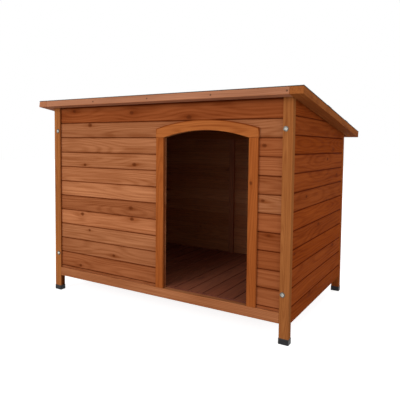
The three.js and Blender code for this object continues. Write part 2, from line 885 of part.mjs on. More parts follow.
function addProp() {
  const [pivotY, pivotZ] = propRoofPivot;
  const half = propWidth / 2;
  const arm = acrossOf(
    [
      [pivotY - propLength, pivotZ - half],
      ...armRoundEnd(propRoofPivot, half),
      [pivotY - propLength, pivotZ + half],
    ],
    [propInner, propOuter],
  );
  const hole = propScrewHole(propInner - propThickness, propOuter + propThickness);
  piece(roof, "prop_arm", "inside", cut(arm, hole));

  const headInner = propOuter + seatGap;
  const screw = new THREE.LatheGeometry(
    [
      [0, crossBattenOuter - propScrewDepth + seatGap],
      [propScrewRadius, crossBattenOuter - propScrewDepth + seatGap],
      [propScrewRadius, headInner],
      [propScrewHeadRadius, headInner],
      [propScrewHeadRadius, headInner + propScrewHeadSide],
      [propScrewHeadFlatRadius, headInner + propScrewHeadHeight],
      [0, headInner + propScrewHeadHeight],
    ].map(([radius, x]) => new THREE.Vector2(radius, x)),
    boltSides,
  );
  screw.rotateZ(-Math.PI / 2).translate(0, pivotY, pivotZ);
  piece(roof, "prop_pivot_screw", "zinc", screw);

  const clipTop = deckUnderside - seatGap;
  const clipInner = propOuter + seatGap;
  const clipCentre = pivotY - propLength + clipFromEnd;
  const clip = deepOf(
    [
      [propInner, clipTop - clipThickness],
      [clipInner, clipTop - clipThickness],
      [clipInner, clipTop - clipDrop],
      [clipInner + clipThickness, clipTop - clipDrop],
      [clipInner + clipThickness, clipTop],
      [propInner, clipTop],
    ],
    [clipCentre - clipLength / 2, clipCentre + clipLength / 2],
  );
  piece(roof, "prop_clip", "zinc", clip);
}

// An L whose seat is square to the raised prop, with a lip behind it.
function addCatch() {
  const down = propReach.clone().normalize();
  const back = new THREE.Vector2(down.y, -down.x);
  const half = propWidth / 2;
  const at = (along, deep) => {
    const place = propSeat.clone().addScaledVector(back, along).addScaledVector(down, deep);
    return roofToHouse(hingeRoofY - place.x, hingeRoofZ + place.y);
  };
  const lipNear = half + 2 * seatGap;
  const lipFar = lipNear + catchLipWidth;
  const outline = [
    at(-half - catchSeatLead, 0),
    at(-half - catchSeatLead, catchDepth),
    at(lipFar, catchDepth),
    at(lipFar, -catchLipHeight),
    at(lipNear, -catchLipHeight),
    at(lipNear, 0),
  ];
  const across = [crossBattenOuter + catchSideClearance, cornerBattenInner - seatGap];
  piece(dogHouse, "prop_catch", "inside", acrossOf(outline, across));
}

addProp();
addCatch();

// The two hinge lines at rest, in the house's frame: a point, a direction and a range.
dogHouse.userData.joints = {
  roofLift: { point: [0, hingeY, hingeZ], axis: [-1, 0, 0], rangeDegrees: [0, roofOpenDegrees] },
  propSwing: {
    point: [0, ...roofToHouse(...propRoofPivot)],
    axis: [1, 0, 0],
    rangeDegrees: [0, propSwingDegrees],
  },
};

export default dogHouse;
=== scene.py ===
"""Wooden dog house with boarded walls, an arched doorway and a lean-to roof that lifts.

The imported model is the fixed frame. Every stick of timber, every board and every fitting is made
here as its own closed shape, in metres, in that frame, and is dressed with a worked-out finish.
"""

import json
import logging
import math
from dataclasses import dataclass, field, replace
from enum import Enum
from functools import cache, partial

import bmesh
import bpy
import numpy as np
from mathutils import Matrix, Vector


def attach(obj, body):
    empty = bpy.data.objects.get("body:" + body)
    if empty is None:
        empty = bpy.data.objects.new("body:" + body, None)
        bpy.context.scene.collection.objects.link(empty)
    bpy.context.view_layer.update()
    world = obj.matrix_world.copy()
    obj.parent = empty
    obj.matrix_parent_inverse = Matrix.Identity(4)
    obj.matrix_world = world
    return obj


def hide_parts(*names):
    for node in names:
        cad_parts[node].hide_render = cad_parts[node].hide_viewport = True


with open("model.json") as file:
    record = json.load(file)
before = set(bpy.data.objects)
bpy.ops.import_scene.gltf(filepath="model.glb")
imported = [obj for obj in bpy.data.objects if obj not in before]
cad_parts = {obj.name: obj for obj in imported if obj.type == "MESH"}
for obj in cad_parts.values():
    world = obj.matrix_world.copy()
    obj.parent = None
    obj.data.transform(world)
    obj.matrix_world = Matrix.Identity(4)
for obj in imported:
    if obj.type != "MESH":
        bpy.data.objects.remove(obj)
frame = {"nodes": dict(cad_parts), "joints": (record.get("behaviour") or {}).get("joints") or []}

LOG = logging.getLogger("dog_house")
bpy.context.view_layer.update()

Array = np.ndarray
Pair = tuple[float, float]
Triple = tuple[float, float, float]

MM = 0.001
GAP = 0.3 * MM  # between two pieces that touch
ROOF_PITCH = math.radians(8.2)
FELT_LAP = 0.7 * MM  # felt past the edge of the wood
BOARD_PITCH = 61.3 * MM  # from one seam of a wall or of the floor to the next
FRONT_SEAM = 723.12 * MM  # height of the highest seam of the front wall and of the rear wall
DOORWAY = (43 * MM, 385 * MM)  # left and right side of the doorway
ARCH_RISE = 26 * MM  # of the arch over the doorway
BARE_HEAD = (0.0, 0.0)  # the lean of an end that is cut square


# ---- Places and extents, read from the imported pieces


@dataclass(frozen=True)
class Placing:
    """A local frame: its origin and the world directions of its axes a, b and c.

    Attributes:
        origin: World place of the local origin.
        axes: Three rows, the world directions of a, b and c, a right-handed set.
    """

    origin: Triple
    axes: tuple[Triple, ...]

    def to_world(self, points: Array) -> Array:
        """World places of local points: origin + a * A + b * B + c * C."""
        return np.asarray(self.origin) + points @ np.asarray(self.axes)

    def to_local(self, points: Array) -> Array:
        """Local places of world points, the inverse of to_world."""
        return (points - np.asarray(self.origin)) @ np.asarray(self.axes).T

    def inside(self, outer: "Placing") -> "Placing":
        """This placing in the world, if its own numbers are given in the axes of another one.

        Args:
            outer: The other one.

        Returns:
            The placing.
        """
        origin = outer.to_world(np.asarray([self.origin]))[0]
        axes = np.asarray(self.axes) @ np.asarray(outer.axes)
        return Placing(tuple(origin), tuple(map(tuple, axes)))


X, Y, Z = (1.0, 0.0, 0.0), (0.0, 1.0, 0.0), (0.0, 0.0, 1.0)
LEFTWARD, FORWARD, DOWNWARD = (-1.0, 0.0, 0.0), (0.0, -1.0, 0.0), (0.0, 0.0, -1.0)
WORLD = Placing((0.0, 0.0, 0.0), (X, Y, Z))


class Lie(Enum):
    """How a piece lies: the directions of its local axes a, b and c. Two names may share one."""

    UPRIGHT = (X, Y, Z)
    ALONG_X = (Y, Z, X)
    ALONG_Y = (Z, X, Y)
    FRONT_WALL = (X, Z, FORWARD)
    REAR_WALL = (LEFTWARD, Z, Y)
    RIGHT_WALL = (Y, Z, X)
    LEFT_WALL = (FORWARD, Z, LEFTWARD)
    FLOOR = (Y, LEFTWARD, Z)
    DECK = (X, FORWARD, DOWNWARD)

    def placing(self, outer: Placing = WORLD) -> Placing:
        """This lie as a placing at the origin of another one."""
        return Placing((0.0, 0.0, 0.0), self.value).inside(outer)


@dataclass(frozen=True)
class Extent:
    """Lowest and highest corner of a piece in one placing.

    Attributes:
        low: Lowest a, b and c.
        high: Highest a, b and c.
    """

    low: Array
    high: Array

    @classmethod
    def of(cls, node: str, placing: Placing = WORLD) -> "Extent":
        """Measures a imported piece.

        Args:
            node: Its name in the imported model.
            placing: The frame to measure it in.

        Returns:
            Its extent there.
        """
        mesh = frame["nodes"][node].data
        flat = np.zeros(len(mesh.vertices) * 3, np.float32)
        mesh.vertices.foreach_get("co", flat)
        local = placing.to_local(flat.reshape(-1, 3).astype(float))
        return cls(local.min(0), local.max(0))

    @property
    def size(self) -> Array:
        """Length along a, b and c."""
        return self.high - self.low

    @property
    def middle(self) -> Array:
        """Centre point."""
        return (self.high + self.low) / 2


def roof_placing() -> Placing:
    """The roof's own frame: b down the slope from the upper front edge, c square to it, out.

    Returns:
        The placing.
    """
    slope = (0.0, math.cos(ROOF_PITCH), -math.sin(ROOF_PITCH))
    out = (0.0, math.sin(ROOF_PITCH), math.cos(ROOF_PITCH))
    tilted = Placing((0.0, 0.0, 0.0), (X, slope, out))
    felt = Extent.of("roof_felt", tilted)
    origin = tilted.to_world(np.array([[0.0, felt.low[1] + FELT_LAP, felt.high[2]]]))[0]
    return Placing(tuple(origin), (X, slope, out))


ROOF = roof_placing()
ROOF_LEAN = (0.0, -math.tan(ROOF_PITCH))  # lean of an upright stick's head, cut to the slope
WALL_TOP = float(Extent.of("post_front_left", ROOF).high[2])


def wall_top_at(depth: float) -> float:
    """Height of the plane that the walls are cut to, at a place from front to rear."""
    (_, y, z), = ROOF.to_world(np.array([[0.0, 0.0, WALL_TOP]]))
    return float(z - (depth - y) * math.tan(ROOF_PITCH))


# ---- Shapes


@dataclass
class Shell:
    """One closed shape in local axes.

    Attributes:
        points: One row of a, b and c for each vertex.
        faces: Vertex numbers of each face, outward.
        edge: For each vertex, 1 on a worn arris, 0 away from one, -1 in a joint, which gets stain
            and painted shade, and less under an eave, which gets painted shade.
    """

    points: Array
    faces: list[list[int]]
    edge: Array

    def shifted(self, *move: float) -> "Shell":
        """The same shape, moved along a, b and c."""
        return Shell(self.points + move, self.faces, self.edge)

    def placed(self, place: Placing) -> "Shell":
        """The same shape, taken from a placing into the axes around it."""
        return Shell(place.to_world(self.points), self.faces, self.edge)


@dataclass(frozen=True)
class Ring:
    """One station of an outline that is carried along c.

    Attributes:
        level: Place along c.
        out: How far each side moves outwards, one number for all or one a side.
        edge: The edge value of a Shell's vertices, one number for all or one a corner.
        lean: How much the level rises for each unit of a and of b.
    """

    level: float
    out: float | Array = 0.0
    edge: float | Array = 0.0
    lean: Pair = BARE_HEAD


def pushed(outline: Array, out: Array) -> Array:
    """Moves the sides of an outline outwards.

    Each corner goes to where its two sides cross once each has moved out square to itself. Where
    two sides are almost in line, the corner moves along the mean of their normals instead.

    Args:
        outline: Corners, anticlockwise, as an (n, 2) array.
        out: Distance of each side for each ring, as an (m, n) array. Side i starts at corner i.

    Returns:
        The moved corners, as an (m, n, 2) array.
    """
    ahead = np.roll(outline, -1, 0) - outline
    ahead /= np.linalg.norm(ahead, axis=1, keepdims=True)
    after = np.stack([ahead[:, 1], -ahead[:, 0]], 1)
    before = np.roll(after, 1, 0)
    far, near = out, np.roll(out, 1, 1)
    cross = before[:, 0] * after[:, 1] - before[:, 1] * after[:, 0]
    crossing = np.abs(cross) > 0.2
    divisor = np.where(crossing, cross, 1.0)
    a = (near * after[:, 1] - far * before[:, 1]) / divisor
    b = (far * before[:, 0] - near * after[:, 0]) / divisor
    mitre = (before + after) / (1 + (before * after).sum(1))[:, None]
    blunt = mitre * ((near + far) / 2)[:, :, None]
    move = np.where(crossing[None, :, None], np.stack([a, b], 2), blunt)
    return outline[None] + move


def tube_faces(count: int, rings: int) -> list[list[int]]:
    """Faces of a closed tube: a quad from each corner of a ring to the next ring, and both ends.

    Args:
        count: Corners of each ring, anticlockwise seen from the last one.
        rings: How many rings there are.

    Returns:
        The vertex numbers of each face, outward.
    """
    start = np.arange(rings - 1)[:, None] * count
    here = np.arange(count)
    there = np.roll(here, -1)
    quads = np.stack([start + here, start + there, start + there + count, start + here + count], 2)
    last = (rings - 1) * count
    return [*quads.reshape(-1, 4).tolist(), here[::-1].tolist(), (last + here).tolist()]


def carried(outline: Array, rings: list[Ring], mask: Array | None = None) -> Shell:
    """Carries a closed outline along c, ring by ring, and closes both ends with a face.

    Ring k is the outline with its sides moved out by out[k], at c = level[k] + lean[k] . (a, b).

    Args:
        outline: Corners, anticlockwise seen from +c, as an (n, 2) array.
        rings: The stations, in order from the low end.
        mask: For each corner, 1 on an arris that runs along c and -1 in a groove, which gets stain
            and painted shade.

    Returns:
        The closed shell.
    """
    count = len(outline)
    out = np.stack([np.broadcast_to(ring.out, count) for ring in rings])
    plan = pushed(outline, out)
    lean = np.array([ring.lean for ring in rings])
    level = np.array([ring.level for ring in rings])[:, None] + (plan * lean[:, None]).sum(2)
    points = np.concatenate([plan, level[:, :, None]], 2).reshape(-1, 3)
    edge = np.stack([np.broadcast_to(ring.edge, count) for ring in rings])
    if mask is not None:
        edge = np.where(mask < 0, mask, np.maximum(edge, mask))
    return Shell(points, tube_faces(count, len(rings)), edge.ravel())


SHOULDER = 2 * MM  # side of a sawn stick that still counts as worn next to its arris


def eased(
    corners: Array, radius: Array | float, shoulder: float = 0.0, steps: int = 3
) -> tuple[Array, Array]:
    """Rounds the corners of an outline.

    Each corner becomes an arc that touches both of its sides: its centre lies one radius from
    them, and a spoke turns through the corner's angle. A point on each side, one shoulder past
    the arc, marks where the arris ends.

    Args:
        corners: Corners, anticlockwise, as an (n, 2) array.
        radius: Radius of each arc, one for all or one a corner. A corner with 0 stays sharp.
        shoulder: Length of side that still counts as worn next to an arc.
        steps: Straight stretches in each arc.

    Returns:
        The new outline, and 1 for each of its corners that is on an arc.
    """
    ahead = np.roll(corners, -1, 0) - corners
    ahead /= np.linalg.norm(ahead, axis=1, keepdims=True)
    behind = np.roll(ahead, 1, 0)
    cross = behind[:, 0] * ahead[:, 1] - behind[:, 1] * ahead[:, 0]
    turn = np.arctan2(cross, (behind * ahead).sum(1))
    radius = np.broadcast_to(radius, turn.shape)
    reach = (radius * np.tan(np.abs(turn) / 2))[:, None]
    left = np.stack([-behind[:, 1], behind[:, 0]], 1)
    start = corners - behind * reach
    spoke = -left * (np.sign(turn) * radius)[:, None]
    angle = turn[:, None] * np.linspace(0, 1, steps + 1)
    cos, sin = np.cos(angle), np.sin(angle)
    a = cos * spoke[:, :1] - sin * spoke[:, 1:]
    b = sin * spoke[:, :1] + cos * spoke[:, 1:]
    arc = np.stack([a, b], 2) + (start - spoke)[:, None]
    first = (corners - behind * (reach + shoulder))[:, None]
    last = (corners + ahead * (reach + shoulder))[:, None]
    points = np.concatenate([first, arc, last], 1)
    mask = np.zeros(points.shape[:2])
    mask[:, 1:-1] = 1.0
    round_corner = (radius > 0)[:, None]
    kept = np.broadcast_to(round_corner, mask.shape).copy()
    kept[:, 0] &= shoulder > 0
    kept[:, -1] &= shoulder > 0
    kept[:, 1] |= ~round_corner[:, 0]
    return points[kept], mask[kept]


def rectangle(low: Pair, high: Pair) -> Array:
    """The four corners of a rectangle, anticlockwise."""
    return np.array([low, (high[0], low[1]), high, (low[0], high[1])], float)


def arch(left: float, right: float, spring: float, rise: float, steps: int = 32) -> Array:
    """Points of an arc through (left, spring) and (right, spring) whose crown is rise higher.

    The radius is (half width squared + rise squared) / twice the rise.

    Args:
        left: Left end.
        right: Right end.
        spring: Height of both ends.
        rise: Height of the crown above them.
        steps: Straight stretches.

    Returns:
        The points from left to right, as an (n, 2) array.
    """
    half = (right - left) / 2
    radius = (half * half + rise * rise) / (2 * rise)
    turn = math.asin(half / radius) * np.linspace(-1, 1, steps + 1)
    across = (left + right) / 2 + radius * np.sin(turn)
    return np.stack([across, spring + rise - radius * (1 - np.cos(turn))], 1)


def eased_ends(
    low: float, high: float, radius: float, head: Pair = BARE_HEAD, steps: int = 3
) -> list[Ring]:
    """Rings of a stick with rounded ends: the outline draws in by a quarter circle at each end.

    Args:
        low: Lower end.
        high: Upper end.
        radius: Radius of the rounding.
        head: Lean of the upper end.
        steps: Straight stretches in the rounding.

    Returns:
        The rings from low to high.
    """
    turn = np.linspace(0, math.pi / 2, steps + 1)
    inward, up = radius * (1 - np.sin(turn)), radius * (1 - np.cos(turn))
    lower = [Ring(low + u, -i, 1.0) for u, i in zip(up, inward)]
    upper = [Ring(high - u, -i, 1.0, head) for u, i in zip(up[::-1], inward[::-1])]
    shoulder = 3 * radius
    return [*lower, Ring(low + shoulder), Ring(high - shoulder, lean=head), *upper]


def circle(sides: int) -> Array:
    """Points of the unit circle, anticlockwise, as a (sides, 2) array."""
    angle = 2 * math.pi * np.arange(sides) / sides
    return np.stack([np.cos(angle), np.sin(angle)], 1)


def turned(profile: list[Pair], sides: int) -> Shell:
    """Turns a profile of (radius, c) points round c and closes both ends with a face.

    Vertex (i, j) is at angle 2 pi i / sides, at the radius and height of profile point j.

    Args:
        profile: Radius and height of each ring, in order, none with a radius of 0.
        sides: How many sides the rings have.

    Returns:
        The closed shell.
    """
    radius, height = np.array(profile).T[:, :, None, None]
    plan = radius * circle(sides)[None]
    level = np.broadcast_to(height, plan[:, :, :1].shape)
    points = np.concatenate([plan, level], 2).reshape(-1, 3)
    return Shell(points, tube_faces(sides, len(profile)), np.zeros(len(points)))


def rod(radius: float, low: float, high: float, chamfer: float, sides: int) -> Shell:
    """A round rod along c with chamfered ends, turned from four points.

    Args:
        radius: Its radius.
        low: Lower end.
        high: Upper end.
        chamfer: Width and depth of both chamfers.
        sides: How many sides it has.

    Returns:
        The closed shell.
    """
    narrow = radius - chamfer
    profile = [(narrow, low), (radius, low + chamfer), (radius, high - chamfer), (narrow, high)]
    return turned(profile, sides)


@dataclass(frozen=True)
class CrossHead:
    """A domed screw head with a cross recess, its seat at c = 0.

    Attributes:
        radius: Radius of the head.
        height: Height of its crown.
        rim: Height of its straight side.
        arm: Half length of the recess's arms.
        width: Half width of the recess's arms.
        depth: Depth of the recess.
        crown: Radius of the flat on its crown, as a share of the radius.
    """

    radius: float
    height: float
    rim: float
    arm: float
    width: float
    depth: float
    crown: float = 0.06

    def shell(self, sides: int = 32, steps: int = 9) -> Shell:
        """Builds the head.

        The top is a polar grid: its height falls from the crown to the rim with the square of
        the radius, less the recess, which is deepest where either arm of the cross runs.

        Args:
            sides: Sides of the grid.
            steps: Rings of the grid.

        Returns:
            The closed shell.
        """
        share = np.linspace(1.0, self.crown, steps)[:, None]
        a, b = self.radius * share * circle(sides).T[:, None]
        dome = self.rim + (self.height - self.rim) * (1 - share ** 2)
        slot = np.maximum(self.slot_at(a, b), self.slot_at(b, a))
        top = np.stack([a, b, dome - self.depth * slot], 2)
        foot = top[0] * (1, 1, 0)
        points = np.concatenate([foot[None], top]).reshape(-1, 3)
        return Shell(points, tube_faces(sides, steps + 1), np.zeros(len(points)))

    def slot_at(self, along: Array, across: Array) -> Array:
        """How deep one arm of the cross is: it slopes over 0.4 of its length and 0.5 across.

        Args:
            along: Places along the arm, from the centre of the head.
            across: Places across it.

        Returns:
            The depth, from 0 to 1.
        """
        ends = (self.arm - np.abs(along)) / (0.4 * self.arm)
        sides = (self.width - np.abs(across)) / (0.5 * self.width)
        return np.clip(np.minimum(ends, sides), 0.0, 1.0)


# ---- Timber: what each stick or board looks like


@dataclass(frozen=True)
class Knot:
    """A knot that goes through a board.

    Attributes:
        along: Its place along the grain, in the piece's own axes.
        across: Its place across the grain.
        radius: Its radius.
    """

    along: float
    across: float
    radius: float


class Tone(Enum):
    """How the stain took on one board: lightness, and how red it went. Two tones also hold painted
    shade.
    """

    BLOND = (1.12, 0.0)
    PALE = (1.02, 0.0)
    PLAIN = (0.92, 0.08)
    WARM = (0.87, 0.27)
    RUSSET = (0.86, 0.38)
    DEEP = (0.75, 0.53)
    AMBER = (1.16, 0.3)
    ORANGE = (1.03, 0.48)
    # Highest front board: partly a darker stain, partly painted shade under the roof's edge.
    UMBER_AND_SHADE = (0.75, 0.6)
    # Side walls: partly a redder stain, partly painted shade of the side that faces away from the
    # light.
    OXBLOOD_AND_SHADE = (0.83, 0.8)


@dataclass(frozen=True)
class Timber:
    """One stick or board of timber.

    Attributes:
        lightness: How light the stain took, for two tones partly painted shade.
        redness: How red it went, from 0 to 1, for the same two tones partly painted shade.
        seed: Where in the log it was sawn.
        knots: Up to three knots.
    """

    lightness: float
    redness: float
    seed: float
    knots: tuple[Knot, ...] = ()


KNOT_LAYERS = ("knot_one", "knot_two", "knot_three")
NO_KNOT = (9.0, 9.0, 0.0)


class TimberStack:
    """Hands out boards and sticks, each sawn from its own place in the log.

    Args:
        seed: Start of the random draws, so that each run gives the same timber.
    """

    def __init__(self, seed: int) -> None:
        """Starts the stack."""
        self.draw = np.random.default_rng(seed)

    def board(self, tone: Tone, spread: float = 0.03, knots: tuple[Knot, ...] = ()) -> Timber:
        """Takes a board of one tone.

        Args:
            tone: How the stain took, for two tones partly painted shade.
            spread: How much its lightness and redness stray.
            knots: Its knots.

        Returns:
            The board's looks.
        """
        lightness, redness = tone.value
        stray = self.draw.normal(0.0, spread, 2)
        seed = float(self.draw.uniform(0.0, 50.0))
        lean = max(0.0, redness + float(stray[1]))
        return Timber(lightness * (1 + float(stray[0])), lean, seed, knots[:3])

    def knots(self, low: Pair, high: Pair, rate: float) -> tuple[Knot, ...]:
        """Scatters knots over a board.

        Args:
            low: Lowest place along and across the grain.
            high: Highest place along and across the grain.
            rate: Knots to a metre.

        Returns:
            Up to three knots.
        """
        count = min(3, int(self.draw.poisson(rate * (high[0] - low[0]))))
        along = self.draw.uniform(low[0], high[0], 3)
        across = self.draw.uniform(low[1], high[1], 3)
        radius = self.draw.uniform(2.6 * MM, 6.0 * MM, 3)
        found = [Knot(*map(float, row)) for row in zip(along, across, radius)]
        return tuple(found[:count])


class Grain(Enum):
    """Which local axes run along, across and through the grain."""

    BOARD = (0, 1, 2)
    STICK = (2, 0, 1)


SHARP_FROM = math.radians(38)  # two faces that meet at more than this have a sharp edge
SAME_PLACE = 0.002 * MM  # vertices nearer than this are one


class Assembly:
    """Gathers the closed shells of one piece and writes them as one object.

    Args:
        name: The piece's name.
        placing: The frame that its shells are given in.
    """

    def __init__(self, name: str, placing: Placing = WORLD) -> None:
        """Starts an empty piece."""
        self.name = name
        self.placing = placing
        self.shells: list[Shell] = []
        self.layers: list[dict[str, Array]] = []

    def add(self, shell: Shell, timber: Timber | None = None, grain: Grain = Grain.STICK) -> None:
        """Adds one shell.

        Args:
            shell: The shell, in the piece's placing.
            timber: Its looks, if it is of timber.
            grain: How its grain runs.
        """
        layer: dict[str, Array] = {}
        if timber is not None:
            rows = np.ones((len(shell.points), 1))
            place = shell.points[:, grain.value]
            heart = (place.min(0) + place.max(0)) / 2 * (0, 1, 1)
            layer["grain_place"] = place - heart
            layer["timber_look"] = rows * (timber.lightness, timber.redness, timber.seed)
            spare = [NO_KNOT] * (len(KNOT_LAYERS) - len(timber.knots))
            marks = [(k.along, k.across - heart[1], k.radius) for k in timber.knots] + spare
            layer.update({name: rows * mark for name, mark in zip(KNOT_LAYERS, marks)})
        self.shells.append(shell)
        self.layers.append(layer)

    def build(self, finish: "Finish", body: str, slot: str, *nodes: str) -> None:
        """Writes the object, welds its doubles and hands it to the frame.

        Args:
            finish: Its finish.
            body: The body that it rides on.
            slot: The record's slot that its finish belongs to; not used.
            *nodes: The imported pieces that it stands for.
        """
        starts = np.cumsum([0, *(len(shell.points) for shell in self.shells)])[:-1]
        faces = [
            [start + index for index in face]
            for start, shell in zip(starts.tolist(), self.shells)
            for face in shell.faces
        ]
        points = np.concatenate([shell.points for shell in self.shells])
        mesh = bpy.data.meshes.new(self.name)
        mesh.from_pydata(self.placing.to_world(points).tolist(), [], faces)
        edge = mesh.attributes.new("edge_wear_and_shade", "FLOAT", "POINT")
        edge.data.foreach_set("value", np.concatenate([s.edge for s in self.shells]))
        for name in self.layers[0]:
            layer = mesh.attributes.new(name, "FLOAT_VECTOR", "POINT")
            rows = np.concatenate([given[name] for given in self.layers])
            layer.data.foreach_set("vector", rows.astype(np.float32).ravel())
        self.weld(mesh)
        mesh.polygons.foreach_set("use_smooth", np.ones(len(mesh.polygons), bool))
        mesh.set_sharp_from_angle(angle=SHARP_FROM)
        mesh.materials.append(finish.material())
        thing = bpy.data.objects.new(self.name, mesh)
        bpy.context.scene.collection.objects.link(thing)
        level = thing.modifiers.new("flat_faces_stay_flat", "WEIGHTED_NORMAL")
        level.keep_sharp = True
        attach(thing, body)
        if nodes:
            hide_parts(*nodes)
        LOG.info("%s: %d faces on %s", self.name, len(mesh.polygons), body)

    @staticmethod
    def weld(mesh: bpy.types.Mesh) -> None:
        """Merges vertices that lie on each other, which also drops faces without area.

        Args:
            mesh: The mesh.
        """
        work = bmesh.new()
        work.from_mesh(mesh)
        bmesh.ops.remove_doubles(work, verts=work.verts, dist=SAME_PLACE)
        work.to_mesh(mesh)
        work.free()


def fitting(
    name: str, placing: Placing, shells: list[Shell], finish: "Finish", *hand_over: str
) -> None:
    """Writes a piece that isn't of timber.

    Args:
        name: Its name.
        placing: The frame that its shells are given in.
        shells: Its closed shells.
        finish: Its finish.
        *hand_over: Its body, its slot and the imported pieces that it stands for.
    """
    piece = Assembly(name, placing)
    for shell in shells:
        piece.add(shell)
    piece.build(finish, *hand_over)


# ---- Shader building

Socket = bpy.types.NodeSocket
Tree = bpy.types.NodeTree
Value = Socket | float | tuple


class Kind(Enum):
    """What a socket of a shader group carries."""

    NUMBER = "NodeSocketFloat"
    PLACE = "NodeSocketVector"
    COLOUR = "NodeSocketColor"


class Graph:
    """Adds nodes to one shader tree and wires them.

    Args:
        tree: The node tree.
    """

    def __init__(self, tree: Tree) -> None:
        """Starts work on a tree."""
        self.tree = tree

    def feed(self, socket: Socket, value: Value) -> None:
        """Links a socket to a value, or sets it to a constant.

        Args:
            socket: The input.
            value: A node's output or a constant.
        """
        if isinstance(value, Socket):
            self.tree.links.new(value, socket)
        else:
            socket.default_value = value

    def node(self, kind: str, inputs: dict | None = None, **settings: object) -> bpy.types.Node:
        """Adds one node.

        Args:
            kind: Blender's name for it, without ShaderNode in front.
            inputs: Values for its sockets, by name or number.
            **settings: Its other settings.

        Returns:
            The node.
        """
        made = self.tree.nodes.new(f"ShaderNode{kind}")
        for name, setting in settings.items():
            setattr(made, name, setting)
        for key, value in (inputs or {}).items():
            self.feed(made.inputs[key], value)
        return made

    def maths(self, operation: str, *values: Value, clamp: bool = False) -> Socket:
        """A Math node's result."""
        inputs = dict(enumerate(values))
        return self.node("Math", inputs, operation=operation, use_clamp=clamp).outputs[0]

    def linear(self, value: Value, slope: Value, start: Value, clamp: bool = False) -> Socket:
        """A number times a slope, plus a start."""
        return self.maths("MULTIPLY_ADD", value, slope, start, clamp=clamp)

    def times(self, first: Value, second: Value) -> Socket:
        """A number times another."""
        return self.maths("MULTIPLY", first, second)

    def larger(self, first: Value, second: Value, clamp: bool = False) -> Socket:
        """The larger of two numbers."""
        return self.maths("MAXIMUM", first, second, clamp=clamp)

    def centred(self, value: Value) -> Socket:
        """A noise, less its mean of a half."""
        return self.maths("SUBTRACT", value, 0.5)

    def length(self, *values: Value) -> Socket:
        """The length of a vector with these parts."""
        inputs = {0: self.joined(*values)}
        return self.node("VectorMath", inputs, operation="LENGTH").outputs["Value"]

    def vector(self, operation: str, *values: Value) -> Socket:
        """A Vector Math node's result."""
        inputs = dict(enumerate(values))
        return self.node("VectorMath", inputs, operation=operation).outputs[0]

    def split(self, value: Socket) -> tuple[Socket, ...]:
        """The three numbers of a vector."""
        return tuple(self.node("SeparateXYZ", {0: value}).outputs)

    def joined(self, *values: Value) -> Socket:
        """A vector from three numbers."""
        return self.node("CombineXYZ", dict(enumerate(values))).outputs[0]

    def noise(self, place: Socket, scale: tuple, detail: float = 2.0, rough: float = 0.5) -> Socket:
        """Noise of a place that is first scaled by a different amount on each axis.

        Args:
            place: The place, in metres.
            scale: Waves to a metre on each axis.
            detail: Octaves.
            rough: How much each octave keeps.

        Returns:
            The noise, from 0 to 1.
        """
        scaled = self.vector("MULTIPLY", place, scale)
        inputs = {"Vector": scaled, "Scale": 1.0, "Detail": detail, "Roughness": rough}
        return self.node("TexNoise", inputs).outputs[0]

    def ramp(self, value: Value, low: float, high: float, smooth: bool = True) -> Socket:
        """A rise from 0 to 1, held past both ends.

        Args:
            value: What it follows.
            low: Where it is 0, which may be above high.
            high: Where it is 1.
            smooth: Whether it eases in and out.

        Returns:
            The rise.
        """
        inputs = {0: value, 1: low, 2: high, 3: 0.0, 4: 1.0}
        style = "SMOOTHSTEP" if smooth else "LINEAR"
        return self.node("MapRange", inputs, interpolation_type=style, clamp=True).outputs[0]

    def mix(self, share: Value, first: Value, second: Value, blend: str = "MIX") -> Socket:
        """A colour between two, or one blended over the other."""
        inputs = {0: share, 6: first, 7: second}
        return self.node("Mix", inputs, data_type="RGBA", blend_type=blend).outputs[2]

    def scaled(self, colour: Value, amount: Value) -> Socket:
        """A colour times a number."""
        return self.vector("MULTIPLY", colour, self.joined(amount, amount, amount))

    def group(self, tree: Tree, inputs: dict) -> bpy.types.Node:
        """Places a shader group with its own values."""
        return self.node("Group", inputs, node_tree=tree)

    def attribute(self, name: str, number: bool = False) -> Socket:
        """A value that the mesh carries."""
        node = self.node("Attribute", attribute_name=name)
        return node.outputs["Fac" if number else "Vector"]


class GroupMaker(Graph):
    """Builds one shader group with named inputs and outputs.

    Args:
        name: The group's name.
        inputs: What each input carries.
        outputs: What each output carries.
    """

    def __init__(self, name: str, inputs: dict[str, Kind], outputs: dict[str, Kind]) -> None:
        """Starts the group and its sockets."""
        super().__init__(bpy.data.node_groups.new(name, "ShaderNodeTree"))
        for label, kind in inputs.items():
            self.tree.interface.new_socket(label, in_out="INPUT", socket_type=kind.value)
        for label, kind in outputs.items():
            self.tree.interface.new_socket(label, in_out="OUTPUT", socket_type=kind.value)
        self.given = self.tree.nodes.new("NodeGroupInput").outputs
        self.wanted = self.tree.nodes.new("NodeGroupOutput").inputs

    def give(self, **values: Value) -> Tree:
        """Wires the group's outputs.

        Args:
            **values: What each output gives, under its name.

        Returns:
            The finished group.
        """
        for label, value in values.items():
            self.feed(self.wanted[label], value)
        return self.tree


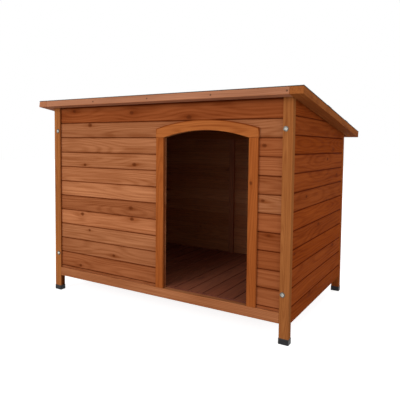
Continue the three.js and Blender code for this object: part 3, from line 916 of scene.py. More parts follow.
@cache
def knot_group() -> Tree:
    """One knot: its core, its dark rim, the stained wood round it and how it bends the grain.

    With d the distance from the knot in knot radii, stretched along the grain, the core is where
    d is under 1, the halo falls off as exp(-d), and the grain beside the knot is drawn towards
    its centre line by exp(-d * d / 7), so that the lines flow round it.

    Returns:
        The group.
    """
    number, place = Kind.NUMBER, Kind.PLACE
    make = GroupMaker(
        "knot_in_timber",
        {"Place": place, "Knot": place, "Ripple": number},
        {"Core": number, "Rim": number, "Halo": number, "Shift": number, "Rings": number},
    )
    along, across, _ = make.split(make.given["Place"])
    knot_along, knot_across, radius = make.split(make.given["Knot"])
    beside = make.maths("SUBTRACT", across, knot_across)
    ahead = make.maths("SUBTRACT", along, knot_along)
    size = make.larger(radius, 0.4 * MM)
    offset = make.length(make.times(ahead, 0.72), beside, 0.0)
    wobble = make.linear(make.given["Ripple"], 0.7, -0.35)
    reach = make.maths("ADD", make.maths("DIVIDE", offset, size), wobble)
    flow = make.length(make.times(ahead, 0.34), beside, 0.0)
    bend = make.maths("DIVIDE", flow, size)
    pull = make.maths("EXPONENT", make.times(make.times(bend, bend), -0.14))
    fall = make.maths("EXPONENT", make.times(bend, -0.75))
    band = make.maths("ABSOLUTE", make.maths("SUBTRACT", reach, 1.0))
    rings = make.maths("SINE", make.times(reach, 17.0))
    return make.give(
        Core=make.ramp(reach, 1.15, 0.6),
        Rim=make.ramp(band, 0.45, 0.05),
        Halo=fall,
        Shift=make.times(make.times(beside, pull), -0.9),
        Rings=make.linear(rings, 0.5, 0.5),
    )


@cache
def timber_group() -> Tree:
    """Sawn and stained softwood.

    The growth rings are circles round a heart that lies under the board and rises and sinks
    along it, so that a flat face shows lines, and ovals where the heart comes near. Noise that is
    drawn out along the grain gives streaks and fibres, and wide soft noise the uneven stain.

    Returns:
        The group.
    """
    number, place, colour = Kind.NUMBER, Kind.PLACE, Kind.COLOUR
    knots = ("Knot one", "Knot two", "Knot three")
    make = GroupMaker(
        "stained_softwood",
        {
            "Place": place, "Look": place, **{knot: place for knot in knots},
            "Pale": colour, "Dark": colour, "Tint": colour, "Knot colour": colour,
            "Ring spacing": number, "Ring contrast": number, "Streak contrast": number,
        },
        {"Colour": colour, "Height": number, "Dense": number},
    )
    given = make.given
    along, across, through = make.split(given["Place"])
    lightness, redness, seed = make.split(given["Look"])
    drift = make.vector("MULTIPLY", make.joined(seed, seed, seed), (3.17, 1.61, 0.77))
    spot = make.vector("ADD", given["Place"], drift)
    ripple = make.noise(spot, (170.0, 170.0, 170.0), 1.0)
    core, rim, halo, shift, rings = (0.0, 0.0, 0.0, 0.0, 0.0)
    for knot in knots:
        one = make.group(knot_group(), {0: given["Place"], 1: given[knot], 2: ripple}).outputs
        core = make.larger(core, one["Core"])
        rim = make.larger(rim, one["Rim"])
        halo = make.larger(halo, one["Halo"])
        shift = make.maths("ADD", shift, one["Shift"])
        rings = make.larger(rings, make.times(one["Rings"], one["Core"]))
    across = make.maths("ADD", across, shift)
    bent = make.vector("ADD", make.joined(along, across, through), drift)
    wander = make.centred(make.noise(bent, (2.6, 7.0, 7.0), 1.0))
    across = make.linear(wander, 0.035, across)
    draw = make.maths("FRACT", make.times(seed, 7.31))
    side = make.maths("FRACT", make.times(seed, 3.93))
    line = make.joined(make.linear(along, 1.7, seed), seed, 0.5)
    rise = make.centred(make.noise(line, (1.0, 1.0, 1.0), 1.0))
    heart = make.linear(draw, 0.05, 0.012)
    heart = make.linear(rise, 0.075, heart)
    under = make.maths("ADD", through, heart)
    off = make.linear(side, -0.05, make.maths("ADD", across, 0.025))
    count = make.maths("DIVIDE", make.length(off, under, 0.0), given["Ring spacing"])
    fray = make.noise(bent, (7.0, 60.0, 60.0), 2.0)
    phase = make.linear(fray, 0.9, count)
    late = make.ramp(make.maths("PINGPONG", phase, 0.5), 0.12, 0.5)
    streak = make.noise(bent, (3.0, 150.0, 150.0), 3.0, 0.6)
    fibre = make.noise(bent, (22.0, 1100.0, 1100.0), 1.0)
    uneven = make.noise(bent, (3.4, 15.0, 15.0), 2.0)
    dense = make.times(make.maths("SUBTRACT", late, 0.4), given["Ring contrast"])
    grainy = make.times(make.centred(streak), given["Streak contrast"])
    dense = make.maths("ADD", make.linear(grainy, 3.0, 0.42), dense)
    dense = make.linear(make.centred(uneven), 0.75, dense)
    dense = make.linear(make.centred(fibre), 0.35, dense)
    dense = make.linear(halo, 0.55, dense, clamp=True)
    shade = make.mix(dense, given["Pale"], given["Dark"])
    red = make.mix(1.0, shade, given["Tint"], "MULTIPLY")
    shade = make.mix(make.linear(redness, 1.0, 0.0, clamp=True), shade, red)
    shade = make.scaled(shade, lightness)
    mark = make.linear(rings, -0.25, make.times(core, 0.95))
    mark = make.larger(mark, make.times(rim, 0.6), clamp=True)
    shade = make.mix(mark, shade, given["Knot colour"])
    height = make.linear(late, 0.35, make.times(streak, 0.5))
    height = make.linear(fibre, 0.25, height)
    height = make.linear(rim, -0.6, height)
    return make.give(Colour=shade, Height=height, Dense=dense)


@cache
def wear_group() -> Tree:
    """Where a finish has rubbed thin on the arrises, broken up by noise.

    Returns:
        The group.
    """
    make = GroupMaker(
        "worn_arris",
        {"Edge": Kind.NUMBER, "Place": Kind.PLACE, "Amount": Kind.NUMBER},
        {"Mask": Kind.NUMBER},
    )
    broken = make.noise(make.given["Place"], (40.0, 220.0, 220.0), 2.0)
    broken = make.ramp(broken, 0.35, 0.62)
    worn = make.times(make.ramp(make.given["Edge"], 0.35, 1.0), broken)
    return make.give(Mask=make.times(worn, make.given["Amount"]))


@cache
def speckle_group() -> Tree:
    """Grains pressed into a surface: a tone for each grain and the height of its crown.

    Each cell of a Voronoi pattern is one grain. Its tone is the cell's own random colour, and it
    rises towards the cell's middle.

    Returns:
        The group.
    """
    make = GroupMaker(
        "pressed_grains",
        {"Place": Kind.PLACE, "Grains": Kind.NUMBER},
        {"Tone": Kind.NUMBER, "Height": Kind.NUMBER},
    )
    inputs = {"Vector": make.given["Place"], "Scale": make.given["Grains"]}
    cell = make.node("TexVoronoi", inputs).outputs
    tone = make.split(cell["Color"])[0]
    return make.give(Tone=tone, Height=make.ramp(cell["Distance"], 0.7, 0.0))


class Surface(Graph):
    """Builds one material round its Principled BSDF.

    Args:
        name: Name of the material.
    """

    def __init__(self, name: str) -> None:
        """Starts an empty material."""
        self.material = bpy.data.materials.new(name)
        self.material.use_nodes = True
        super().__init__(self.material.node_tree)
        self.shader = self.tree.nodes["Principled BSDF"]

    def dress(
        self, colour: Socket, roughness: Socket, height: Socket, depth: float, strength: float
    ) -> None:
        """Wires what changes over the surface.

        Args:
            colour: Its colour.
            roughness: Its roughness.
            height: Its relief, as a share of the depth.
            depth: Depth of the relief.
            strength: How far the relief is followed.
        """
        relief = {"Height": height, "Distance": depth, "Strength": strength}
        normal = self.node("Bump", relief).outputs[0]
        for name, value in (("Base Color", colour), ("Roughness", roughness), ("Normal", normal)):
            self.feed(self.shader.inputs[name], value)

    def worn(self, edge: Socket, place: Socket, amount: float) -> Socket:
        """Where the arrises are rubbed: the worn_arris group's mask."""
        return self.group(wear_group(), {0: edge, 1: place, 2: amount}).outputs["Mask"]

    def in_object(self) -> Socket:
        """Places on the object."""
        return self.node("TexCoord").outputs["Object"]


def srgb(red: int, green: int, blue: int) -> tuple[float, ...]:
    """A colour given by its sRGB bytes.

    Args:
        red: Red, from 0 to 255.
        green: Green.
        blue: Blue.

    Returns:
        The linear light that shaders take, with an alpha of 1.
    """
    share = np.array([red, green, blue]) / 255.0
    linear = np.where(share <= 0.04045, share / 12.92, ((share + 0.055) / 1.055) ** 2.4)
    return (*linear.tolist(), 1.0)


@dataclass(frozen=True)
class Finish:
    """A finish, whose material is built once.

    Attributes:
        name: Name of the material.
    """

    name: str

    @cache
    def material(self) -> bpy.types.Material:
        """Gives the material, which is built when it is first asked for.

        Returns:
            The material.
        """
        graph = Surface(self.name)
        self.wire(graph)
        return graph.material

    def wire(self, graph: Surface) -> None:
        """Builds the finish in its material."""
        raise NotImplementedError


@dataclass(frozen=True)
class TimberFinish(Finish):
    """Softwood under a stain.

    Attributes:
        pale: Colour of the soft early wood.
        dark: Colour of the dense late wood.
        tint: What a fully red board is multiplied by.
        worn: Colour of a rubbed arris.
        knot: Colour of a knot's core.
        rings: Distance between growth rings.
        ring_contrast: How plainly the rings show.
        streak_contrast: How plainly the streaks show.
        roughness: Roughness of the stain.
        sheen: How much less rough the densest wood is than the softest.
        relief: Height of the grain.
        wear: How far the arrises are rubbed.
        stain_and_painted_shade: What the colour is multiplied by for each layer of darkening: stain
            and painted shade in a joint, painted shade under an eave.
        specular: Specular level of the stain.
    """

    pale: tuple
    dark: tuple
    tint: tuple = (0.86, 0.38, 0.04, 1.0)
    worn: tuple = srgb(190, 112, 56)
    knot: tuple = srgb(100, 46, 20)
    rings: float = 5.5 * MM
    ring_contrast: float = 0.28
    streak_contrast: float = 0.4
    roughness: float = 0.62
    sheen: float = 0.12
    relief: float = 0.35 * MM
    wear: float = 0.3
    stain_and_painted_shade: tuple = (0.52, 0.36, 0.26, 1.0)
    specular: float = 0.003

    def wire(self, graph: Surface) -> None:
        """Builds the wood, its rubbed arrises, and the darkening in joints and under an eave.

        Below 0 the edge value counts layers of darkening: stain and painted shade in a joint,
        painted shade under an eave. Each layer multiplies the colour once more, and fades in
        over 0.8 from where it starts, at 0, -1 or -2.

        Args:
            graph: The material.
        """
        place, edge = graph.attribute("grain_place"), graph.attribute("edge_wear_and_shade", number=True)
        knots = {2 + i: graph.attribute(layer) for i, layer in enumerate(KNOT_LAYERS)}
        inputs = {
            "Place": place, "Look": graph.attribute("timber_look"), **knots,
            "Pale": self.pale, "Dark": self.dark, "Tint": self.tint,
            "Knot colour": self.knot, "Ring spacing": self.rings,
            "Ring contrast": self.ring_contrast, "Streak contrast": self.streak_contrast,
        }
        wood = graph.group(timber_group(), inputs).outputs
        shade = graph.mix(graph.worn(edge, place, self.wear), wood["Colour"], self.worn)
        # Layers of stain and painted shade, each one darkening the colour once more.
        layer = 0.8
        for start in (0.0, -1.0, -2.0):
            stain_and_painted_shade = graph.ramp(edge, start, start - layer, smooth=False)
            shade = graph.mix(stain_and_painted_shade, shade, graph.mix(1.0, shade, self.stain_and_painted_shade, "MULTIPLY"))
        rough = graph.linear(wood["Dense"], -self.sheen, self.roughness + self.sheen / 2)
        graph.dress(shade, rough, wood["Height"], self.relief, 0.8)
        graph.shader.inputs["Specular IOR Level"].default_value = self.specular


@dataclass(frozen=True)
class FeltFinish(Finish):
    """Roofing felt with slate grains pressed into it.

    Attributes:
        ground: Colour of the bitumen.
        grain: Colour of the grains.
        damp: What the colour is multiplied by where the felt stays damp.
        grains: Grains to a metre.
    """

    name: str = "mineral_roof_felt"
    ground: tuple = srgb(34, 37, 37)
    grain: tuple = srgb(96, 101, 98)
    damp: tuple = (0.7, 0.72, 0.7, 1.0)
    grains: float = 620.0

    def wire(self, graph: Surface) -> None:
        """Builds the grains, which clouds of wear thin out, and the damp patches.

        Args:
            graph: The material.
        """
        place = graph.in_object()
        grains = graph.group(speckle_group(), {0: place, 1: self.grains}).outputs
        cloudy = graph.noise(place, (5.0, 7.0, 7.0), 3.0)
        damp = graph.ramp(graph.noise(place, (1.6, 9.0, 2.0), 2.0), 0.75, 0.3)
        share = graph.times(grains["Tone"], graph.ramp(cloudy, 0.15, 0.75))
        shade = graph.mix(damp, graph.mix(share, self.ground, self.grain), self.damp, "MULTIPLY")
        rough = graph.linear(grains["Tone"], 0.2, 0.75)
        graph.dress(shade, rough, graph.linear(cloudy, 2.0, grains["Height"]), 0.35 * MM, 0.9)


@dataclass(frozen=True)
class MouldedFinish(Finish):
    """Black moulded plastic with a fine grain and scuffed corners.

    Attributes:
        colour: Colour of the plastic.
        scuff: Colour of dust and scuffs.
        roughness: Roughness where it is clean.
        specular: Its specular level.
    """

    name: str = "black_moulded_plastic"
    colour: tuple = srgb(24, 24, 26)
    scuff: tuple = srgb(84, 82, 80)
    roughness: float = 0.42
    specular: float = 0.25

    def wire(self, graph: Surface) -> None:
        """Builds the grain, a film of dust and the scuffs on the corners.

        Args:
            graph: The material.
        """
        place = graph.in_object()
        leather = graph.noise(place, (900.0, 900.0, 900.0), 2.0)
        dust = graph.ramp(graph.noise(place, (60.0, 60.0, 130.0), 4.0, 0.65), 0.5, 0.8)
        worn = graph.worn(graph.attribute("edge_wear_and_shade", number=True), place, 0.5)
        scuffed = graph.larger(graph.times(dust, 0.28), worn)
        rough = graph.linear(scuffed, 0.4, self.roughness)
        shade = graph.mix(scuffed, self.colour, self.scuff)
        graph.dress(shade, rough, leather, 0.12 * MM, 0.6)
        graph.shader.inputs["Specular IOR Level"].default_value = self.specular


@dataclass(frozen=True)
class PlatedFinish(Finish):
    """Steel under a bright zinc plate, with a dull bloom.

    Attributes:
        bright: Colour of the clean plate.
        dull: Colour of the bloom.
        roughness: Roughness where it is clean.
        grime: Colour of the dirt that gathers round a head.
    """

    name: str = "bright_zinc_plate"
    bright: tuple = srgb(188, 186, 178)
    dull: tuple = srgb(132, 130, 124)
    roughness: float = 0.34
    grime: tuple = srgb(66, 60, 52)

    def wire(self, graph: Surface) -> None:
        """Builds the plate, its bloom, its spangle and the dirt round a head.

        Args:
            graph: The material.
        """
        place = graph.in_object()
        bloom = graph.ramp(graph.noise(place, (180.0, 180.0, 180.0), 4.0, 0.6), 0.42, 0.7)
        spangle = graph.group(speckle_group(), {0: place, 1: 900.0}).outputs["Tone"]
        grime = graph.ramp(graph.attribute("edge_wear_and_shade", number=True), 0.0, -1.0)
        shade = graph.mix(grime, graph.mix(bloom, self.bright, self.dull), self.grime)
        rough = graph.linear(spangle, 0.1, graph.linear(bloom, 0.3, self.roughness))
        graph.dress(shade, rough, bloom, 0.05 * MM, 0.5)
        graph.shader.inputs["Metallic"].default_value = 1.0


WALL = TimberFinish("stained_wall_boards", srgb(190, 124, 83), srgb(137, 73, 36))
REAR = replace(WALL, name="stained_rear_boards", specular=0.4)
PLANED = TimberFinish(
    "stained_planed_timber", srgb(183, 116, 64), srgb(136, 74, 35),
    rings=4.5 * MM, ring_contrast=0.28, streak_contrast=0.4, roughness=0.6, wear=0.16,
)
FASCIA = TimberFinish(
    "stained_roof_frame", srgb(189, 129, 97), srgb(151, 96, 68), rings=5.0 * MM, roughness=0.58
)
SAWN = TimberFinish(
    "stained_sawn_timber", srgb(168, 100, 66), srgb(116, 60, 34),
    rings=5.0 * MM, roughness=0.8, relief=0.6 * MM, wear=0.2, specular=0.5,
)
FELT = FeltFinish()
PLASTIC = MouldedFinish()
ZINC = PlatedFinish()
STAINED = PlatedFinish("stained_screw_heads", srgb(92, 62, 44), srgb(58, 34, 22), 0.5)


# ---- Boards


UNDER_EAVE = -4.0  # edge value of the strip that the roof shelters from all light


@dataclass(frozen=True)
class Row:
    """One board's share of a boarded face, across its grain.

    Attributes:
        low: Lower side.
        high: Upper side.
        grooved: Whether its lower side sits on a tongue.
        tongued: Whether its upper side has a tongue.
        below: Whether another board lies below it, across a V.
        above: Whether another board lies above it, across a V.
    """

    low: float
    high: float
    grooved: bool
    tongued: bool
    below: bool
    above: bool


def rows_between(
    low: float, high: float, seam: float, pitch: float, beyond: tuple[bool, bool]
) -> list[Row]:
    """Divides a face into rows of boards.

    Args:
        low: Lower side of the face.
        high: Upper side of the face.
        seam: Place of the highest seam. The rest follow below it, one every pitch.
        pitch: Distance between seams.
        beyond: Whether boards of other faces lie below and above this one.

    Returns:
        The rows from the lowest up.
    """
    least = 2 * MM
    seams = seam - pitch * np.arange(math.ceil((seam - low) / pitch), -1, -1)
    seams = seams[(seams > low + least) & (seams < high - least)]
    sides = np.concatenate([[low], seams, [high]])
    last = len(sides) - 2
    below, above = beyond
    return [
        Row(float(low), float(high), i > 0, i < last, i > 0 or below, i < last or above)
        for i, (low, high) in enumerate(zip(sides, sides[1:]))
    ]


@dataclass(frozen=True)
class TonguedBoard:
    """Section of a tongued board with a V at each seam.

    Attributes:
        tongue: How far the tongue stands out of the upper side.
        half: Half its thickness.
        play: Room round it in the groove of the board above.
        joint: Half the gap between two boards.
        bevel: Width and depth of one side of the V.
        arris: Radius of the other arrises.
        fade: Width of the strip beside an arris that wear reaches.
        eave: Width of the strip along the upper side that gets painted shade from an eave.
        full: Height of a board's lower end from which its joint is full size.
    """

    tongue: float = 4.0 * MM
    half: float = 1.6 * MM
    play: float = 0.3 * MM
    joint: float = 0.2 * MM
    bevel: float = 1.9 * MM
    arris: float = 0.6 * MM
    fade: float = 3.5 * MM
    eave: float = 0.0
    full: float = 16 * MM

    def shell(self, outline: Array, row: Row, depth: Pair) -> Shell:
        """Builds one board.

        The outline is carried from the back to the face. At mid thickness its upper side moves
        out for the tongue and its lower side in for the groove, and near the face the sides at
        a seam draw in for the V. The V gets lighter from its bottom, at -1, to its arris; its
        darkness is stain in the joint and painted shade.

        Args:
            outline: Corners of the board on its face, anticlockwise.
            row: The row that it fills.
            depth: Back and face.

        Returns:
            The closed shell.
        """
        along = np.roll(outline, -1, 0)[:, 1]
        here = outline[:, 1]
        level = np.isclose(here, along, atol=1e-6)
        lower = level & np.isclose(here, row.low, atol=1e-6) & row.below
        upper = level & np.isclose(here, row.high, atol=1e-6) & row.above
        seam = lower | upper
        dark = seam | np.roll(seam, 1)
        # A seam's V is painted darker: stain in the joint and painted shade.
        joint = np.where(dark, -1.0, 0.0)
        ends = np.isclose(outline[:, :1], (outline[:, 0].min(), outline[:, 0].max()))
        least = min(float(np.ptp(here[end])) for end in ends.T)
        narrow = min(1.0, least / self.full)
        bevel = self.bevel * narrow
        # The strip under an eave gets painted shade, at UNDER_EAVE.
        sheltered = level & np.isclose(here, here.max()) & (self.eave > 0)
        fade = np.where(sheltered, self.eave, self.fade * narrow)
        rim = np.where(sheltered | np.roll(sheltered, 1), UNDER_EAVE, np.where(dark, -0.3, 1.0))
        side = -self.joint * seam
        cut = side - (self.tongue + self.play) * narrow * (lower & row.grooved)
        grown = cut + self.tongue * narrow * (upper & row.tongued)
        back, face = depth
        middle = (back + face) / 2
        inner, outer = self.half, self.half + self.play
        arris, nip = self.arris, 0.3 * self.arris
        at_seam = partial(np.where, seam)
        rings = [
            Ring(back, side - arris, 1.0),
            Ring(back + arris, side, 0.3),
            Ring(middle - outer, side),
            Ring(middle - outer, cut),
            Ring(middle - inner, cut),
            Ring(middle - inner, grown),
            Ring(middle + inner, grown),
            Ring(middle + inner, cut, joint),
            Ring(middle + outer, cut, joint),
            Ring(middle + outer, side, joint),
            Ring(face - bevel, side, joint),
            Ring(face - arris, side - at_seam(bevel - arris, 0.0), np.where(dark, -0.8, 0.5)),
            Ring(face - nip, side - at_seam(bevel - nip, nip), np.where(dark, -0.6, 0.9)),
            Ring(face, side - at_seam(bevel + 0.5 * arris, arris), rim),
            Ring(face, side - at_seam(bevel, arris) - fade),
        ]
        return carried(outline, rings)


@dataclass
class BoardedFace:
    """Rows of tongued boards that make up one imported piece.

    Attributes:
        node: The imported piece.
        lie: How the boards lie: a along them, b across them, c towards their face.
        seam: Place of the highest seam, across the boards.
        tones: Tone of each row from the lowest up, repeated if there are more rows.
        finish: Their finish.
        stack: Where the boards come from.
        knots: Knots that show on the face, anywhere on it.
        knot_rate: Scattered knots to a metre of board.
        pitch: Distance between seams.
        outer: The placing that it lies in.
        slot: The record's slot of its finish.
        body: The body that it rides on.
        section: Section of its boards.
        beyond: Whether boards of other pieces lie below and above it.
    """

    node: str
    lie: Lie
    seam: float
    tones: tuple[Tone, ...]
    finish: TimberFinish
    stack: TimberStack
    knots: tuple[Knot, ...] = ()
    knot_rate: float = 1.4
    pitch: float = BOARD_PITCH
    outer: Placing = WORLD
    slot: str = "boards"
    body: str = "house"
    section: TonguedBoard = field(default_factory=TonguedBoard)
    beyond: tuple[bool, bool] = (False, False)

    def outline(self, row: Row, extent: Extent) -> Array:
        """Corners of one board: the full width of the face. Other faces cut it to shape."""
        return rectangle((extent.low[0], row.low), (extent.high[0], row.high))

    def timber(self, index: int, row: Row, extent: Extent) -> Timber:
        """Picks the timber for one row.

        Args:
            index: Number of the row from the lowest.
            row: The row.
            extent: Extent of the whole face.

        Returns:
            The board's looks.
        """
        low, high = (extent.low[0], row.low), (extent.high[0], row.high)
        scattered = self.stack.knots(low, high, self.knot_rate)
        placed = tuple(k for k in self.knots if row.low < k.across < row.high)
        knots = placed if self.knots else scattered
        return self.stack.board(self.tones[index % len(self.tones)], knots=knots)

    def build(self) -> None:
        """Builds every row and dresses them."""
        placing = self.lie.placing(self.outer)
        extent = Extent.of(self.node, placing)
        piece = Assembly(f"{self.node}_timber", placing)
        depth = (extent.low[2], extent.high[2])
        rows = rows_between(extent.low[1], extent.high[1], self.seam, self.pitch, self.beyond)
        for index, row in enumerate(rows):
            shell = self.section.shell(self.outline(row, extent), row, depth)
            piece.add(shell, self.timber(index, row, extent), Grain.BOARD)
        piece.build(self.finish, self.body, self.slot, self.node)


@dataclass
class SideFace(BoardedFace):
    """A side wall, whose boards are cut to the slope of the roof.

    Attributes:
        least: Height at which the thin end of a sloping board is cut off.
    """

    least: float = 9 * MM

    def outline(self, row: Row, extent: Extent) -> Array:
        """Corners of one board under the slope.

        The board runs from the front to the rear, or to where the slope comes down to its lower
        side, and its upper side follows the slope from where that crosses it.

        Args:
            row: The row.
            extent: Extent of the whole face.

        Returns:
            The corners, anticlockwise.
        """
        way = 1.0 if self.lie is Lie.RIGHT_WALL else -1.0
        front, rear = sorted((way * extent.low[0], way * extent.high[0]))
        fall = math.tan(ROOF_PITCH)
        reach = (wall_top_at(0.0) - row.low - self.least) / fall
        crossing = (wall_top_at(0.0) - row.high) / fall
        end = min(rear, reach)
        top = [(end, min(row.high, wall_top_at(end)))]
        if front + MM < crossing < end - MM:
            top.append((crossing, row.high))
        top.append((front, min(row.high, wall_top_at(front))))
        corners = np.array([(front, row.low), (end, row.low), *top])
        return corners if way > 0 else corners[::-1] * (-1.0, 1.0)


@dataclass
class TopFace(BoardedFace):
    """The highest board of the front wall, as high as the slope leaves room for at its back."""

    def outline(self, row: Row, extent: Extent) -> Array:
        """Corners of the board, whose upper side meets the roof's slope at its back."""
        top = wall_top_at(-float(extent.low[2]))
        return rectangle((extent.low[0], row.low), (extent.high[0], top))


@dataclass
class ArchFace(BoardedFace):
    """The board over the doorway, with the arch cut out of its lower side."""

    def outline(self, row: Row, extent: Extent) -> Array:
        """Corners of the board, with the arch as an arc along its lower side.

        Args:
            row: The row.
            extent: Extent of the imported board.

        Returns:
            The corners, anticlockwise.
        """
        curve = arch(*DOORWAY, row.low, ARCH_RISE)
        low, high = rectangle((extent.low[0], row.low), (extent.high[0], row.high)).reshape(2, 2, 2)
        return np.concatenate([low[:1], curve, low[1:], high])


@dataclass
class FloorFace(BoardedFace):
    """Half of the floor, notched round the corner battens.

    Attributes:
        notch: Distance from the middle of the house to the notches.
        ends: Where the notches stop, at the front and at the rear.
    """

    notch: float = 495.7 * MM
    ends: Pair = (-299.2 * MM, 270.5 * MM)

    def outline(self, row: Row, extent: Extent) -> Array:
        """Corners of one floor board, shortened where it lies beyond the notches.

        Args:
            row: The row.
            extent: Extent of the panel.

        Returns:
            The corners, anticlockwise.
        """
        wide, slim = (extent.low[0], extent.high[0]), self.ends
        outer_low, outer_high = row.low < -self.notch - GAP, row.high > self.notch + GAP
        step = -self.notch if outer_low else self.notch
        left, right = slim if outer_low or outer_high else wide
        if not (outer_low or outer_high) or not row.low < step < row.high:
            return rectangle((left, row.low), (right, row.high))
        below, above = (slim, wide) if outer_low else (wide, slim)
        return np.array([
            (below[0], row.low), (below[1], row.low), (below[1], step), (above[1], step),
            (above[1], row.high), (above[0], row.high), (above[0], step), (below[0], step),
        ])


# ---- Sticks


@dataclass
class Stick:
    """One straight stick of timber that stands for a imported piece.

    Attributes:
        node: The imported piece.
        lie: How it lies, with c along it.
        finish: Its finish.
        timber: Its looks.
        body: The body that it rides on.
        slot: The record's slot of its finish.
        outer: The placing that it lies in.
        grain: How its grain runs.
        arris: Radius of its arrises.
        end_arris: Radius of the arrises of its ends, if that is another one.
        head: Lean of its far end, for a stick that is cut to the roof's slope.
    """

    node: str
    lie: Lie
    finish: TimberFinish
    timber: Timber
    body: str = "house"
    slot: str = "trim"
    outer: Placing = WORLD
    grain: Grain = Grain.STICK
    arris: float = 1.3 * MM
    end_arris: float | None = None
    head: Pair = BARE_HEAD

    def section(self, extent: Extent) -> tuple[Array, Array]:
        """Outline of the stick, a rectangle, and 1 for each corner that is on an arris."""
        corners = rectangle(extent.low[:2], extent.high[:2])
        return eased(corners, self.arris, shoulder=1.6 * self.arris)

    def build(self) -> None:
        """Builds and dresses the stick: its section is carried along c, up to the slope."""
        placing = self.lie.placing(self.outer)
        extent = Extent.of(self.node, placing)
        outline, mask = self.section(extent)
        far = wall_top_at(0.0) if any(self.head) else extent.high[2]
        ends = eased_ends(extent.low[2], far, self.end_arris or self.arris, self.head)
        piece = Assembly(f"{self.node}_timber", placing)
        piece.add(carried(outline, ends, mask), self.timber, self.grain)
        piece.build(self.finish, self.body, self.slot, self.node)


@dataclass
class Post(Stick):
    """A corner post, grooved for the boards of the front or the rear wall.

    Attributes:
        right: Whether it is a right-hand post.
        front: Whether it is a front post.
        recess: Face of the post to the groove.
        groove: Width of the groove.
        deep: Depth of the groove.
    """

    end_arris: float | None = 0.8 * MM
    right: bool = True
    front: bool = True
    recess: float = 8.7 * MM
    groove: float = 11.6 * MM
    deep: float = 6.3 * MM

    def section(self, extent: Extent) -> tuple[Array, Array]:
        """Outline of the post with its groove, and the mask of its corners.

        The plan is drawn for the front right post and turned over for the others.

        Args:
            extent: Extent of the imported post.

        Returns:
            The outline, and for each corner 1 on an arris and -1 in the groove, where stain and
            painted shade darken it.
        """
        width, depth = extent.size[:2]
        near, far = self.recess, self.recess + self.groove
        plan = np.array([
            (0, 0), (width, 0), (width, depth), (0, depth),
            (0, far), (self.deep, far), (self.deep, near), (0, near),
        ])
        radii = self.arris * np.array([1, 1, 1, 1, 0.3, 0, 0, 0.3])
        as_drawn = (self.right, self.front)
        turn = np.where(as_drawn, 1.0, -1.0)
        corner = np.where(as_drawn, extent.low[:2], extent.high[:2])
        plan = plan * turn + corner
        if self.right != self.front:
            plan, radii = plan[::-1], radii[::-1]
        outline, mask = eased(plan, radii, shoulder=0.5 * MM)
        a, b = ((outline - corner) * turn).T
        # The groove and its lip are painted dark: stain and painted shade.
        grooved = (a < self.deep + MM) & (b > near - MM) & (b < far + MM)
        return outline, np.where(grooved, -1.0, mask)


@dataclass
class CrossCut(Stick):
    """A stick whose section is cut to the roof's slope."""

    def section(self, extent: Extent) -> tuple[Array, Array]:
        """Outline with a sloping upper side, where a is the depth and b the height.

        Args:
            extent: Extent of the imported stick.

        Returns:
            The outline, and the mask of its corners.
        """
        near, far, foot = extent.low[0], extent.high[0], extent.low[1]
        top = [(far, wall_top_at(far)), (near, wall_top_at(near))]
        return eased(np.array([(near, foot), (far, foot), *top]), self.arris, SHOULDER)


@dataclass
class TopBatten(Stick):
    """A batten that follows the roof's slope inside a side wall, with upright ends.

    Attributes:
        height: Its upright height.
    """

    height: float = 45 * MM

    def section(self, extent: Extent) -> tuple[Array, Array]:
        """Side of the batten, which is carried across its thickness.

        Args:
            extent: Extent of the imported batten.

        Returns:
            The outline, and the mask of its corners.
        """
        start, finish = Extent.of(self.node).low[1], Extent.of(self.node).high[1]
        top = np.array([wall_top_at(start), wall_top_at(finish)])
        heights = np.concatenate([top - self.height, top[::-1]])
        corners = np.stack([np.zeros(4), (start, finish, finish, start), heights], 1)
        return eased(self.lie.placing(self.outer).to_local(corners)[:, :2], self.arris, SHOULDER)


# ---- Walls


@dataclass
class Joinery:
    """A sub-assembly of timber.

    Attributes:
        stack: Where its timber comes from.
    """

    stack: TimberStack


